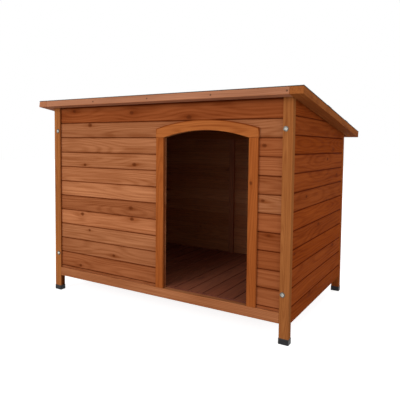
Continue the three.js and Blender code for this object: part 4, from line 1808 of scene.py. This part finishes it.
@dataclass
class Corners(Joinery):
    """The four corner posts with their shoes and bolts.

    Attributes:
        shoe_wall: Thickness of a shoe's wall.
        shoe_base: Thickness of a shoe's base.
        head: The bolts' heads.
        washer_radius: Radius of a washer.
        washer: Thickness of a washer.
        shank: Radius of a shank.
        grime: Edge value of the dirt on a washer.
    """

    shoe_wall: float = 1.0 * MM
    shoe_base: float = 2.0 * MM
    head: CrossHead = CrossHead(5.4 * MM, 3.6 * MM, 1.2 * MM, 3.3 * MM, 0.8 * MM, 1.9 * MM)
    washer_radius: float = 8.5 * MM
    washer: float = 1.4 * MM
    shank: float = 3.0 * MM
    grime: float = -0.75

    def build(self) -> None:
        """Builds every corner."""
        tones = {"front_left": Tone.PALE, "front_right": Tone.PLAIN}
        for depth in ("front", "rear"):
            for side in ("left", "right"):
                corner = f"{depth}_{side}"
                timber = self.stack.board(tones.get(corner, Tone.ORANGE), 0.02)
                Post(
                    f"post_{corner}", Lie.UPRIGHT, PLANED, timber, head=ROOF_LEAN,
                    right=side == "right", front=depth == "front",
                ).build()
                self.shoe(corner)
                for level in ("low", "high"):
                    self.bolt(corner, level)

    def shoe(self, corner: str) -> None:
        """Builds one shoe: a cup that tapers a little, with a rolled rim and a ribbed sole.

        Args:
            corner: Which corner.
        """
        node = f"shoe_{corner}"
        extent = Extent.of(node)
        outline, mask = eased(rectangle(extent.low[:2], extent.high[:2]), 2.2 * MM, 1 * MM, 5)
        top, wall = extent.high[2], self.shoe_wall
        rings = [
            Ring(0.0, -3.4 * MM), Ring(0.8 * MM, -3.0 * MM), Ring(0.8 * MM, -2.2 * MM),
            Ring(0.0, -1.6 * MM), Ring(0.0, -1.0 * MM, 0.7), Ring(0.6 * MM, -0.35 * MM, 1.0),
            Ring(1.6 * MM, 0.0, 0.4), Ring(top - 3.2 * MM, -0.25 * MM),
            Ring(top - 2.8 * MM, 0.0, 0.5), Ring(top - 0.5 * MM, 0.0, 1.0),
            Ring(top, -0.3 * MM, 1.0), Ring(top - 0.1 * MM, -wall, 0.6), Ring(self.shoe_base, -wall),
        ]
        cup = carried(outline, rings, 0.5 * mask)
        fitting(f"{node}_moulding", WORLD, [cup], PLASTIC, "house", "shoes", node)

    def bolt(self, corner: str, level: str) -> None:
        """Builds one bolt: domed head with a cross recess, washer and shank.

        Args:
            corner: Which corner.
            level: Which of its two bolts.
        """
        node = f"bolt_{corner}_{level}"
        extent, post = Extent.of(node), Extent.of(f"post_{corner}")
        front = corner.startswith("front")
        lie, face = (Lie.FRONT_WALL, post.low[1]) if front else (Lie.REAR_WALL, post.high[1])
        placing = Placing((extent.middle[0], face, extent.middle[2]), lie.value)
        turn = float(np.random.default_rng(len(node) + int(extent.middle[2] / MM)).uniform(0, 1.5))
        cos, sin = math.cos(turn), math.sin(turn)
        spin = Placing((0.0, 0.0, 0.0), ((cos, sin, 0.0), (-sin, cos, 0.0), Z))
        seat = GAP + self.washer
        r, e, inner = self.washer_radius, 0.35 * MM, 0.5 * self.washer_radius
        washer = turned([
            (inner, GAP), (r - e, GAP), (r, GAP + e), (r, seat - e), (r - e, seat - 0.05 * MM),
            (0.74 * r, seat), (inner, seat),
        ], 36)
        washer.edge[:] = self.grime
        far = seat - extent.size[1] + self.head.height
        tip, top = (0.7 * self.shank, far), (self.shank, seat + self.washer)
        shank = turned([tip, (self.shank, far + 1 * MM), top], 16)
        shells = [self.head.shell().shifted(0.0, 0.0, seat).placed(spin), washer, shank]
        fitting(f"{node}_fastener", placing, shells, ZINC, "house", "steel", node)


FRONT_KNOTS = tuple(
    Knot(along * MM, across * MM, radius * MM)
    for along, across, radius in (
        (-113.8, 757.6, 6), (-422.6, 771.7, 5), (147, 735, 6.5), (-332.7, 713, 6.5),
        (-100.3, 558.6, 6), (-362.4, 549.8, 4.5), (-117.7, 388.3, 6), (-377.8, 342.6, 6),
        (-112, 346, 5.5), (-337.6, 278.8, 4), (-205.3, 189, 4.5), (-390, 122.2, 5),
        (435.9, 636.7, 5), (434.1, 457.5, 4), (457.3, 344.8, 3.5), (445.9, 300.7, 3.5),
    )
)
SIDE_KNOTS = tuple(
    Knot(along * MM, across * MM, radius * MM)
    for along, across, radius in (
        (64.4, 587.7, 5), (143.8, 623.1, 4.5), (-191, 464, 4.5), (65, 426, 4), (-130, 112, 5),
        (-303, 288, 3.5), (210, 520, 5), (-40, 349, 4.5), (170, 230, 4),
    )
)


@dataclass
class FrontWall(Joinery):
    """The front wall: rails, two wide boards and the rows beside the doorway.

    Attributes:
        eave: Width of the strip under the roof's edge that gets painted shade.
    """

    eave: float = 15.5 * MM

    def build(self) -> None:
        """Builds the wall."""
        plain, pale, blond, warm = Tone.PLAIN, Tone.PALE, Tone.BLOND, Tone.WARM
        russet, deep = Tone.RUSSET, Tone.DEEP
        left = (warm, warm, plain, pale, blond, warm, blond, blond, pale, pale)
        # The rows right of the doorway take darker, redder tones than those on the left.
        right = (russet, russet, russet, deep, deep, russet, pale, russet, warm, russet)
        common = {
            "lie": Lie.FRONT_WALL, "finish": WALL, "stack": self.stack, "seam": FRONT_SEAM,
            "knots": FRONT_KNOTS,
        }
        BoardedFace("front_boards_left", tones=left, beyond=(False, True), **common).build()
        BoardedFace("front_boards_right", tones=right, beyond=(False, True), **common).build()
        # The highest board's tone is partly painted shade under the roof's edge.
        TopFace(
            "front_top_board", tones=(Tone.UMBER_AND_SHADE,), beyond=(True, False),
            section=TonguedBoard(eave=self.eave), **common,
        ).build()
        ArchFace("front_arch_board", tones=(plain,), beyond=(True, True), **common).build()
        rail = self.stack.board(pale, 0.01)
        Stick("front_bottom_rail", Lie.ALONG_X, WALL, rail).build()
        hidden = self.stack.board(deep)
        CrossCut("front_top_rail", Lie.ALONG_X, SAWN, hidden, slot="inner_timber").build()


@dataclass
class DoorFacing(Joinery):
    """The facing planted round the doorway: two jambs and an arched header.

    Attributes:
        outer_rise: Rise of the header's upper side.
        end: Height of the header at its ends.
        sheltered: Share of that height up to which its arris is rubbed. Above, its arris is painted
            dark: painted shadow of the gap behind it, and dirt.
        arris: Radius of the arrises.
        fade: Width of the strip beside an arris that wear reaches.
    """

    outer_rise: float = 30 * MM
    end: float = 32.5 * MM
    sheltered: float = 0.9
    arris: float = 1.5 * MM
    fade: float = 3 * MM

    def build(self) -> None:
        """Builds the facing."""
        knot = Knot(513.5 * MM, 394.9 * MM, 4 * MM)
        for side, knots in (("left", ()), ("right", (knot,))):
            timber = self.stack.board(Tone.ORANGE, 0.01, knots)
            Stick(f"door_jamb_{side}", Lie.UPRIGHT, PLANED, timber, arris=self.arris).build()
        self.header()

    def header(self) -> None:
        """Builds the header, whose outline lies between two arcs."""
        placing = Lie.FRONT_WALL.placing()
        extent = Extent.of("door_header", placing)
        (left, low, back), (right, _, face) = extent.low, extent.high
        inner = arch(*DOORWAY, low, ARCH_RISE, 40)
        outer = arch(left, right, low + self.end, self.outer_rise, 40)
        outline = np.concatenate([[(left, low)], inner, [(right, low)], outer[::-1]])
        # Below the share the arris is worn; above it, it gets painted shadow and dirt.
        rubbed = np.where(outline[:, 1] > low + self.sheltered * self.end, -1.0, 1.0)
        r, e = self.arris, 0.3 * MM
        rings = [
            Ring(back, -e, 0.5), Ring(back + e), Ring(face - r, 0.0, rubbed),
            Ring(face - 0.5 * r, -0.13 * r, rubbed), Ring(face - 0.13 * r, -0.5 * r, rubbed),
            Ring(face, -r, rubbed), Ring(face, -r - self.fade),
        ]
        piece = Assembly("door_header_timber", placing)
        piece.add(carried(outline, rings), self.stack.board(Tone.AMBER, 0.01), Grain.BOARD)
        piece.build(PLANED, "house", "trim", "door_header")


@dataclass
class RearWall(Joinery):
    """The rear wall: rails, rows of boards and the batten inside it."""

    def build(self) -> None:
        """Builds the wall."""
        tones = (Tone.WARM, Tone.PLAIN, Tone.WARM, Tone.RUSSET, Tone.PLAIN, Tone.PALE, Tone.WARM)
        BoardedFace("rear_boards", Lie.REAR_WALL, FRONT_SEAM, tones, REAR, self.stack).build()
        low, high = self.stack.board(Tone.WARM), self.stack.board(Tone.RUSSET)
        Stick("rear_bottom_rail", Lie.ALONG_X, PLANED, low).build()
        CrossCut("rear_top_rail", Lie.ALONG_X, PLANED, high).build()
        batten = self.stack.board(Tone.BLOND)
        Stick("rear_centre_batten", Lie.UPRIGHT, SAWN, batten, slot="inner_timber").build()


@dataclass
class SideWall(Joinery):
    """One side wall: its boards, a batten at each corner and one under the roof.

    Attributes:
        side: Left or right.
        seam: Height of its highest seam.
    """

    side: str
    seam: float = 732.19 * MM

    def build(self) -> None:
        """Builds the wall."""
        lie, knots = (Lie.RIGHT_WALL, SIDE_KNOTS) if self.side == "right" else (Lie.LEFT_WALL, ())
        node = f"{self.side}_side_boards"
        # The side boards' tone is partly painted shade.
        SideFace(node, lie, self.seam, (Tone.OXBLOOD_AND_SHADE,), WALL, self.stack, knots).build()
        inner = {"finish": SAWN, "slot": "inner_timber"}
        for depth in ("front", "rear"):
            node, timber = f"{depth}_{self.side}_corner_batten", self.stack.board(Tone.RUSSET)
            Stick(node, Lie.UPRIGHT, timber=timber, head=ROOF_LEAN, **inner).build()
        node, timber = f"{self.side}_top_batten", self.stack.board(Tone.WARM)
        TopBatten(node, Lie.ALONG_X, timber=timber, outer=ROOF, grain=Grain.BOARD, **inner).build()


@dataclass
class Floor(Joinery):
    """The floor: two panels that lift out, on three bearers.

    Attributes:
        split: Distance from the middle of the house to the joint between the panels.
        rows: Seams to the left of that joint.
    """

    split: float = 17.7 * MM
    rows: int = 8

    def build(self) -> None:
        """Builds the floor."""
        tones = (Tone.RUSSET, Tone.DEEP, Tone.RUSSET, Tone.RUSSET)
        seam = self.rows * BOARD_PITCH - self.split
        for side in ("left", "right"):
            node = f"floor_panel_{side}"
            FloorFace(node, Lie.FLOOR, seam, tones, SAWN, self.stack, slot="inner_timber").build()
        for place in ("front", "middle", "rear"):
            node, timber = f"floor_bearer_{place}", self.stack.board(Tone.WARM)
            Stick(node, Lie.ALONG_X, SAWN, timber, slot="inner_timber").build()


# ---- Roof


@dataclass
class Roof(Joinery):
    """The lean-to roof: felt over a boarded deck in a frame, with two battens below.

    Attributes:
        laps: Places down the slope where one strip of felt ends on the next.
        lap: How far the strips overlap.
        ramp: Length over which a strip rises onto the next.
        thick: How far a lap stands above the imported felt.
        screw_pitch: Distance between the fascia's screws.
        screw_x: Place of one of them.
        screw_drop: Their distance below the fascia's upper edge.
        screw_end: Least distance from the last screw to the fascia's end.
        screw: The screws' heads.
        nail_pitch: Distance between the felt's nails.
        nail_edge: Distance of the outer nails from the felt's edge.
        nail_lap: Distance of the nails in a lap from its lower edge.
        nail: Radius of a nail's head.
        deck_pitch: Distance between the seams of the deck.
        deck_seam: Place of its first seam.
    """

    laps: tuple[float, ...] = (270 * MM, 530 * MM)
    lap: float = 45 * MM
    ramp: float = 10 * MM
    thick: float = 1.3 * MM
    screw_pitch: float = 264.6 * MM
    screw_x: float = -3.0 * MM
    screw_drop: float = 13.0 * MM
    screw_end: float = 5 * MM
    screw: CrossHead = CrossHead(3.0 * MM, 0.8 * MM, 0.2 * MM, 1.8 * MM, 0.45 * MM, 0.7 * MM)
    nail_pitch: float = 96 * MM
    nail_edge: float = 16 * MM
    nail_lap: float = 12 * MM
    nail: float = 4.2 * MM
    deck_pitch: float = 98 * MM
    deck_seam: float = 34.3 * MM

    def build(self) -> None:
        """Builds the roof."""
        on_roof = {"body": "roof", "outer": ROOF}
        fascia, rear = self.stack.board(Tone.PALE, 0.01), self.stack.board(Tone.PLAIN)
        Stick("roof_front_fascia", Lie.ALONG_X, FASCIA, fascia, **on_roof).build()
        Stick("roof_rear_batten", Lie.ALONG_X, FASCIA, rear, **on_roof).build()
        barges = (("left", Tone.PALE, FASCIA), ("right", Tone.WARM, PLANED))
        for side, tone, finish in barges:
            node, timber = f"roof_barge_{side}", self.stack.board(tone, 0.02)
            Stick(node, Lie.ALONG_Y, finish, timber, **on_roof).build()
            node, timber = f"roof_cross_batten_{side}", self.stack.board(Tone.WARM)
            Stick(node, Lie.ALONG_Y, SAWN, timber, slot="inner_timber", **on_roof).build()
        BoardedFace(
            "roof_deck", Lie.DECK, -self.deck_seam, (Tone.WARM, Tone.RUSSET, Tone.WARM), SAWN,
            self.stack, pitch=self.deck_pitch, slot="inner_timber", **on_roof,
        ).build()
        self.felt()
        self.fascia_screws()
        self.felt_nails()

    def felt(self) -> None:
        """Builds the felt as strips across the slope, each lapping over the one below it."""
        placing = Lie.ALONG_X.placing(ROOF)
        extent = Extent.of("roof_felt", placing)
        (front, low, left), (rear, high, right) = extent.low, extent.high
        seat, over = high + 0.05 * MM, high + self.thick
        edge, draw = 0.3 * MM, -0.1 * MM
        rings = [Ring(left, draw), Ring(left + edge), Ring(right - edge), Ring(right, draw)]
        strips = []
        for start, end in zip((front, *self.laps), (*self.laps, rear)):
            upper = [(end, low), (end, high)]
            if end < rear:
                turn, foot = end - self.ramp, end + self.lap
                upper = [(turn, low), (end, seat), (foot, seat)]
                upper += [(foot, over), (end, over), (turn, high)]
            strips.append(carried(np.array([(start, low), *upper, (start, high)]), rings))
        fitting("roof_felt_strips", placing, strips, FELT, "roof", "felt", "roof_felt")

    def fascia_screws(self) -> None:
        """Builds the round-headed screws along the fascia, one every pitch."""
        placing = Lie.FRONT_WALL.placing(ROOF)
        high = Extent.of("roof_front_fascia", placing).high
        reach = math.floor((high[0] - self.screw_end - self.screw_x) / self.screw_pitch)
        head, level = self.screw.shell(20, 6), high[2] - 0.2 * MM
        heads = [
            head.shifted(x, high[1] - self.screw_drop, level)
            for x in self.screw_x + np.arange(1 - reach, reach + 1) * self.screw_pitch
        ]
        fitting("roof_fascia_screws", placing, heads, STAINED, "roof", "steel")

    def felt_nails(self) -> None:
        """Builds the flat-headed nails of the felt, in rows along its laps and its edges."""
        extent = Extent.of("roof_felt", ROOF)
        low, high = extent.low[:2] + self.nail_edge, extent.high[:2] - self.nail_edge
        count_x, count_y = ((high - low) / self.nail_pitch).astype(int) + 1
        laps = [lap + self.lap - self.nail_lap for lap in self.laps]
        places = [
            (x, line, line in laps)
            for line in (low[1], *laps, high[1])
            for x in np.linspace(low[0], high[0], count_x)
        ]
        places += [
            (x, line, False)
            for line in np.linspace(low[1], high[1], count_y)[1:-1]
            for x in (low[0], high[0])
        ]
        r = self.nail
        head = turned([
            (0.6 * r, -1.1 * MM), (0.9 * r, -1.0 * MM), (r, -0.75 * MM),
            (0.92 * r, -0.5 * MM), (0.5 * r, -0.35 * MM), (0.1 * r, -0.3 * MM),
        ], 14)
        flat, raised = 0.9 * MM, 1.35 * MM
        nails = [head.shifted(x, y, flat + (raised if lapped else 0.0)) for x, y, lapped in places]
        fitting("roof_felt_nails", ROOF, nails, ZINC, "roof", "steel")


# ---- Hinges and prop


@dataclass
class Hinge:
    """One butt hinge of the roof.

    Attributes:
        side: Left or right.
        leaf: Thickness of a leaf.
        knuckle: Radius of a knuckle.
        gap: Gap between two knuckles.
        pin: Radius of the pin.
        width: Width of a leaf, from its edge to the knuckles.
        ease: Radius of the edges of leaf and knuckles.
        screw: The screws' heads.
        screws: Places of a leaf's screws, as shares of its length and of its width.
    """

    side: str
    leaf: float = 1.6 * MM
    knuckle: float = 3.2 * MM
    gap: float = 0.3 * MM
    pin: float = 1.5 * MM
    width: float = 25 * MM
    ease: float = 0.25 * MM
    screw: CrossHead = CrossHead(3.4 * MM, 0.9 * MM, 0.15 * MM, 2.1 * MM, 0.5 * MM, 0.7 * MM)
    screws: tuple[Pair, ...] = ((0.16, 0.6), (0.5, 0.35), (0.84, 0.6))

    def build(self) -> None:
        """Builds the two leaves and the pin."""
        node = f"hinge_{self.side}_pin"
        pin = Extent.of(node)
        line = Placing((0.0, pin.middle[1], pin.middle[2]), Lie.ALONG_X.value)
        self.plate("wall", "house", Lie.REAR_WALL.placing(), line)
        self.plate("roof", "roof", Lie.DECK.placing(ROOF), line)
        core = rod(self.pin, pin.low[0], pin.high[0], 0.4 * MM, 16)
        fitting(f"{node}_steel", line, [core], ZINC, "house", "steel", node)

    def plate(self, kind: str, body: str, placing: Placing, line: Placing) -> None:
        """Builds one leaf: its plate with screws, the straps and the knuckles.

        The wall leaf has the two outer knuckles and the roof leaf the middle one.

        Args:
            kind: Wall or roof.
            body: The body that it rides on.
            placing: A frame with a along the hinge, b across the leaf and c away from its seat.
            line: The pin's line, c along X.
        """
        node = f"hinge_{self.side}_{kind}_leaf"
        centre = placing.to_local(np.array([line.origin]))[0]
        extent = Extent.of(node, placing)
        low, high = extent.low[0], extent.high[0]
        cuts = low + (high - low) / 3 * np.array([1, 2]) + self.gap / 2 * np.array([-1, 1])
        start, reach = centre[1] - self.knuckle - 2 * self.gap, centre[1]
        edge = start - self.width
        if kind == "wall":
            seat, outer, middle = centre[2] - self.knuckle, reach, start
            spans = [(low, cuts[0]), (cuts[1], high)]
        else:
            seat, outer, middle = extent.low[2], start, reach
            cuts = cuts + self.gap * np.array([1, -1])
            spans = [tuple(cuts)]
        straps = [(high, outer), (cuts[1], outer), (cuts[1], middle),
                  (cuts[0], middle), (cuts[0], outer), (low, outer)]
        corners = np.array([(low, edge), (high, edge), *straps])
        radii = np.array([3.0, 3.0, *([0.0] * len(straps))]) * MM
        outline, _ = eased(corners, radii, steps=5)
        e, face = self.ease, seat + self.leaf
        rings = [
            Ring(seat, -e), Ring(seat + e), Ring(face - e, 0.0, 0.8), Ring(face, -e, 1.0),
            Ring(face, -e - 1 * MM),
        ]
        shells = [carried(outline, rings)]
        screw = self.screw.shell(24, 7)
        for along, across in self.screws:
            place = (low + along * (high - low), edge + across * self.width)
            shells.append(screw.shifted(*place, face - 0.1 * MM))
        for span in spans:
            near, far = sorted(placing.axes[0][0] * end for end in span)
            barrel = rod(self.knuckle, near, far, e, 28).placed(line)
            shells.append(Shell(placing.to_local(barrel.points), barrel.faces, barrel.edge))
        fitting(f"{node}_steel", placing, shells, ZINC, body, "steel", node)


@dataclass
class Prop(Joinery):
    """The roof prop: arm, pivot screw, spring clip and the catch on the side wall.

    Attributes:
        arris: Radius of the timber's arrises.
        head: The pivot screw's head.
        spring: Thickness of the clip.
        lip: Height and width of the catch's lip.
    """

    arris: float = 1.2 * MM
    head: CrossHead = CrossHead(5.9 * MM, 2.4 * MM, 0.8 * MM, 3.0 * MM, 0.7 * MM, 1.5 * MM)
    spring: float = 1.0 * MM
    lip: float = 8.0 * MM

    def build(self) -> None:
        """Builds the prop."""
        placing = Lie.ALONG_X.placing(ROOF)
        screw = Extent.of("prop_pivot_screw", placing)
        arm = Extent.of("prop_arm", placing)
        self.arm(placing, arm, screw.middle)
        self.pivot(placing, arm.high[2] + GAP, screw)
        self.clip()
        self.catch()

    def arm(self, placing: Placing, arm: Extent, pivot: Array) -> None:
        """Builds the arm, round at its pivot and square at its foot.

        Args:
            placing: The roof's frame with c across the house.
            arm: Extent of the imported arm.
            pivot: A point on the pivot's line.
        """
        half = arm.size[1] / 2
        turn = np.linspace(-math.pi / 2, math.pi / 2, 19)
        bow = np.stack([pivot[0] + half * np.cos(turn), pivot[1] + half * np.sin(turn)], 1)
        foot, _ = eased(rectangle(arm.low[:2], arm.high[:2]), self.arris, SHOULDER)
        near = foot[:, 0] < arm.middle[0]
        low, high = foot[near & (foot[:, 1] < pivot[1])], foot[near & (foot[:, 1] > pivot[1])]
        outline = np.concatenate([low, bow, high])
        ends = eased_ends(arm.low[2], arm.high[2], self.arris)
        piece = Assembly("prop_arm_timber", placing)
        piece.add(carried(outline, ends), self.stack.board(Tone.PLAIN), Grain.BOARD)
        piece.build(SAWN, "prop", "inner_timber", "prop_arm")

    def pivot(self, placing: Placing, seat: float, screw: Extent) -> None:
        """Builds the pivot screw: a domed head and its shank.

        Args:
            placing: The roof's frame with c across the house.
            seat: Where its head sits.
            screw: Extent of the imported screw.
        """
        far, axis = screw.low[2], screw.middle[:2]
        profile = [(0.6 * MM, far), (2.5 * MM, far + 5 * MM), (2.6 * MM, seat + 0.5 * MM)]
        shells = [self.head.shell().shifted(*axis, seat), turned(profile, 16).shifted(*axis, 0.0)]
        hand_over = ("roof", "steel", "prop_pivot_screw")
        fitting("prop_pivot_screw_steel", placing, shells, ZINC, *hand_over)

    def clip(self) -> None:
        """Builds the spring clip: a strip bent down beside the arm, with a flared lip."""
        placing = Lie.ALONG_Y.placing(ROOF)
        clip = Extent.of("prop_clip", placing)
        (low, left, near), (top, right, far) = clip.low, clip.high
        t = self.spring
        corners = np.array([
            (low, right - t), (top - t, right - t), (top - t, left), (top, left),
            (top, right), (low, right),
        ])
        outline, _ = eased(corners, np.array([0.4, 1.6, 0.3, 0.3, 0.7, 0.4]) * t, steps=5)
        strip = carried(outline, eased_ends(near, far, 0.25 * MM))
        fitting("prop_clip_steel", placing, [strip], ZINC, "roof", "steel", "prop_clip")

    def catch(self) -> None:
        """Builds the catch: a block square to the raised prop, with a lip behind its seat."""
        ranges = {joint["name"]: joint["range_deg"][1] for joint in frame["joints"]}
        turn = math.radians(ranges["prop_swing"] - ranges["roof_lift"]) - ROOF_PITCH
        back, up = (0.0, math.sin(turn), -math.cos(turn)), (0.0, math.cos(turn), math.sin(turn))
        placing = Placing((0.0, 0.0, 0.0), (back, up, X))
        catch = Extent.of("prop_catch", placing)
        (near, low, left), (far, high, right) = catch.low, catch.high
        step = (far - self.lip, high - self.lip)
        corners = np.array([
            (near, low), (far, low), (far, high), (step[0], high), step, (near, step[1])
        ])
        outline, mask = eased(corners, self.arris, 1.5 * MM)
        block = carried(outline, eased_ends(left, right, self.arris), mask)
        piece = Assembly("prop_catch_timber", placing)
        piece.add(block, self.stack.board(Tone.WARM), Grain.BOARD)
        piece.build(SAWN, "house", "inner_timber", "prop_catch")


# ---- Studio


WHITE = (1.0, 1.0, 1.0, 1.0)


@dataclass(frozen=True)
class Studio:
    """Camera, floor, lamps and sky.

    Attributes:
        place: Place of the camera.
        yaw: How far it looks to the left of +Y, in degrees.
        pitch: How far it looks down, in degrees.
        roll: How far it is turned clockwise, in degrees.
        lens: Its focal length in millimetres.
        sensor: Width of the sensor in millimetres.
        shift: How far the picture is moved up on the sensor.
        ambient: Strength of the sky as a light.
        target: What the lamps face.
        reach: Half the width of the floor.
        grey: Lightness of the floor under the lamps.
        glow: Lightness that the camera sees on top of that.
    """

    place: Triple = (1.0018, -1.6872, 0.6332)
    yaw: float = 30.905
    pitch: float = 3.361
    roll: float = 0.630
    lens: float = 40.28
    sensor: float = 36.0
    shift: float = -0.0694
    ambient: float = 0.5
    target: Triple = (0.0, 0.0, 0.4)
    reach: float = 14.0
    grey: float = 0.6
    glow: float = 0.85

    def build(self) -> None:
        """Builds the studio."""
        self.camera()
        self.floor()
        self.sky()
        self.lamp("key", (-0.9, -4.2, 1.7), 2.6, 78.0)
        self.lamp("fill", (3.4, -1.6, 1.3), 2.4, 20.0)
        self.lamp("back", (0.4, 3.4, 2.6), 2.6, 40.0)
        bpy.context.scene.view_settings.view_transform = "Standard"

    def camera(self) -> None:
        """Sets the camera at the photograph's viewing angle."""
        yaw, pitch, roll = map(math.radians, (self.yaw, self.pitch, self.roll))
        ahead = Vector((
            -math.sin(yaw) * math.cos(pitch), math.cos(yaw) * math.cos(pitch), -math.sin(pitch)
        ))
        level = Vector((math.cos(yaw), math.sin(yaw), 0.0))
        up = level.cross(ahead)
        right = level * math.cos(roll) + up * math.sin(roll)
        top = up * math.cos(roll) - level * math.sin(roll)
        data = bpy.data.cameras.new("camera")
        data.sensor_width, data.lens, data.shift_y = self.sensor, self.lens, self.shift
        camera = bpy.data.objects.new("camera", data)
        turn = Matrix((right, top, -ahead)).transposed().to_4x4()
        camera.matrix_world = Matrix.Translation(self.place) @ turn
        bpy.context.scene.collection.objects.link(camera)
        bpy.context.scene.camera = camera

    def lamp(self, name: str, place: Triple, size: float, power: float) -> None:
        """Adds a soft lamp that faces the house.

        Args:
            name: Its name.
            place: Where it stands.
            size: Its width.
            power: Its power in watts.
        """
        data = bpy.data.lights.new(name, "AREA")
        data.shape, data.size, data.energy = "DISK", size, power
        lamp = bpy.data.objects.new(name, data)
        toward = Vector(self.target) - Vector(place)
        turn = toward.to_track_quat("-Z", "Y").to_matrix().to_4x4()
        lamp.matrix_world = Matrix.Translation(place) @ turn
        bpy.context.scene.collection.objects.link(lamp)

    @staticmethod
    def seen(graph: Graph) -> Socket:
        """What the camera sees, also in gloss and through glass.

        Args:
            graph: The material that asks.

        Returns:
            1 for such a ray and 0 for any other.
        """
        path = graph.node("LightPath").outputs
        gloss = graph.larger(path["Is Camera Ray"], path["Is Glossy Ray"])
        return graph.larger(gloss, path["Is Transmission Ray"])

    def floor(self) -> None:
        """Lays a pale floor that looks white where no shadow falls on it."""
        mesh = bpy.data.meshes.new("floor")
        corners = self.reach * np.array([(-1, -1, 0), (1, -1, 0), (1, 1, 0), (-1, 1, 0)])
        mesh.from_pydata(corners.tolist(), [], [(0, 1, 2, 3)])
        floor = bpy.data.objects.new("floor", mesh)
        bpy.context.scene.collection.objects.link(floor)
        graph = Surface("pale_floor")
        grey = graph.node("BsdfDiffuse", {"Color": (*[self.grey] * 3, 1.0)}).outputs[0]
        glow = graph.node("Emission", {"Color": WHITE, "Strength": self.glow}).outputs[0]
        both = graph.node("AddShader", {0: grey, 1: glow}).outputs[0]
        mixed = graph.node("MixShader", {0: self.seen(graph), 1: grey, 2: both})
        graph.tree.nodes.remove(graph.shader)
        out = graph.tree.nodes["Material Output"].inputs["Surface"]
        graph.feed(out, mixed.outputs[0])
        mesh.materials.append(graph.material)

    def sky(self) -> None:
        """Surrounds the scene with even light that looks white."""
        world = bpy.data.worlds.new("studio_sky")
        world.use_nodes = True
        bpy.context.scene.world = world
        graph = Graph(world.node_tree)
        background = world.node_tree.nodes["Background"]
        strength = graph.linear(self.seen(graph), 1.0 - self.ambient, self.ambient)
        graph.feed(background.inputs["Strength"], strength)
        background.inputs["Color"].default_value = WHITE


def main() -> None:
    """Builds the studio and the dog house."""
    logging.basicConfig(level=logging.INFO, format="%(name)s: %(message)s")
    stack = TimberStack(seed=11)
    walls = (FrontWall(stack), DoorFacing(stack), RearWall(stack))
    sides = (SideWall(stack, "left"), SideWall(stack, "right"), Floor(stack), Roof(stack))
    fittings = (Hinge("left"), Hinge("right"), Prop(stack))
    for assembly in (Studio(), Corners(stack), *walls, *sides, *fittings):
        assembly.build()
    bpy.context.view_layer.update()


if __name__ == "__main__":
    main()
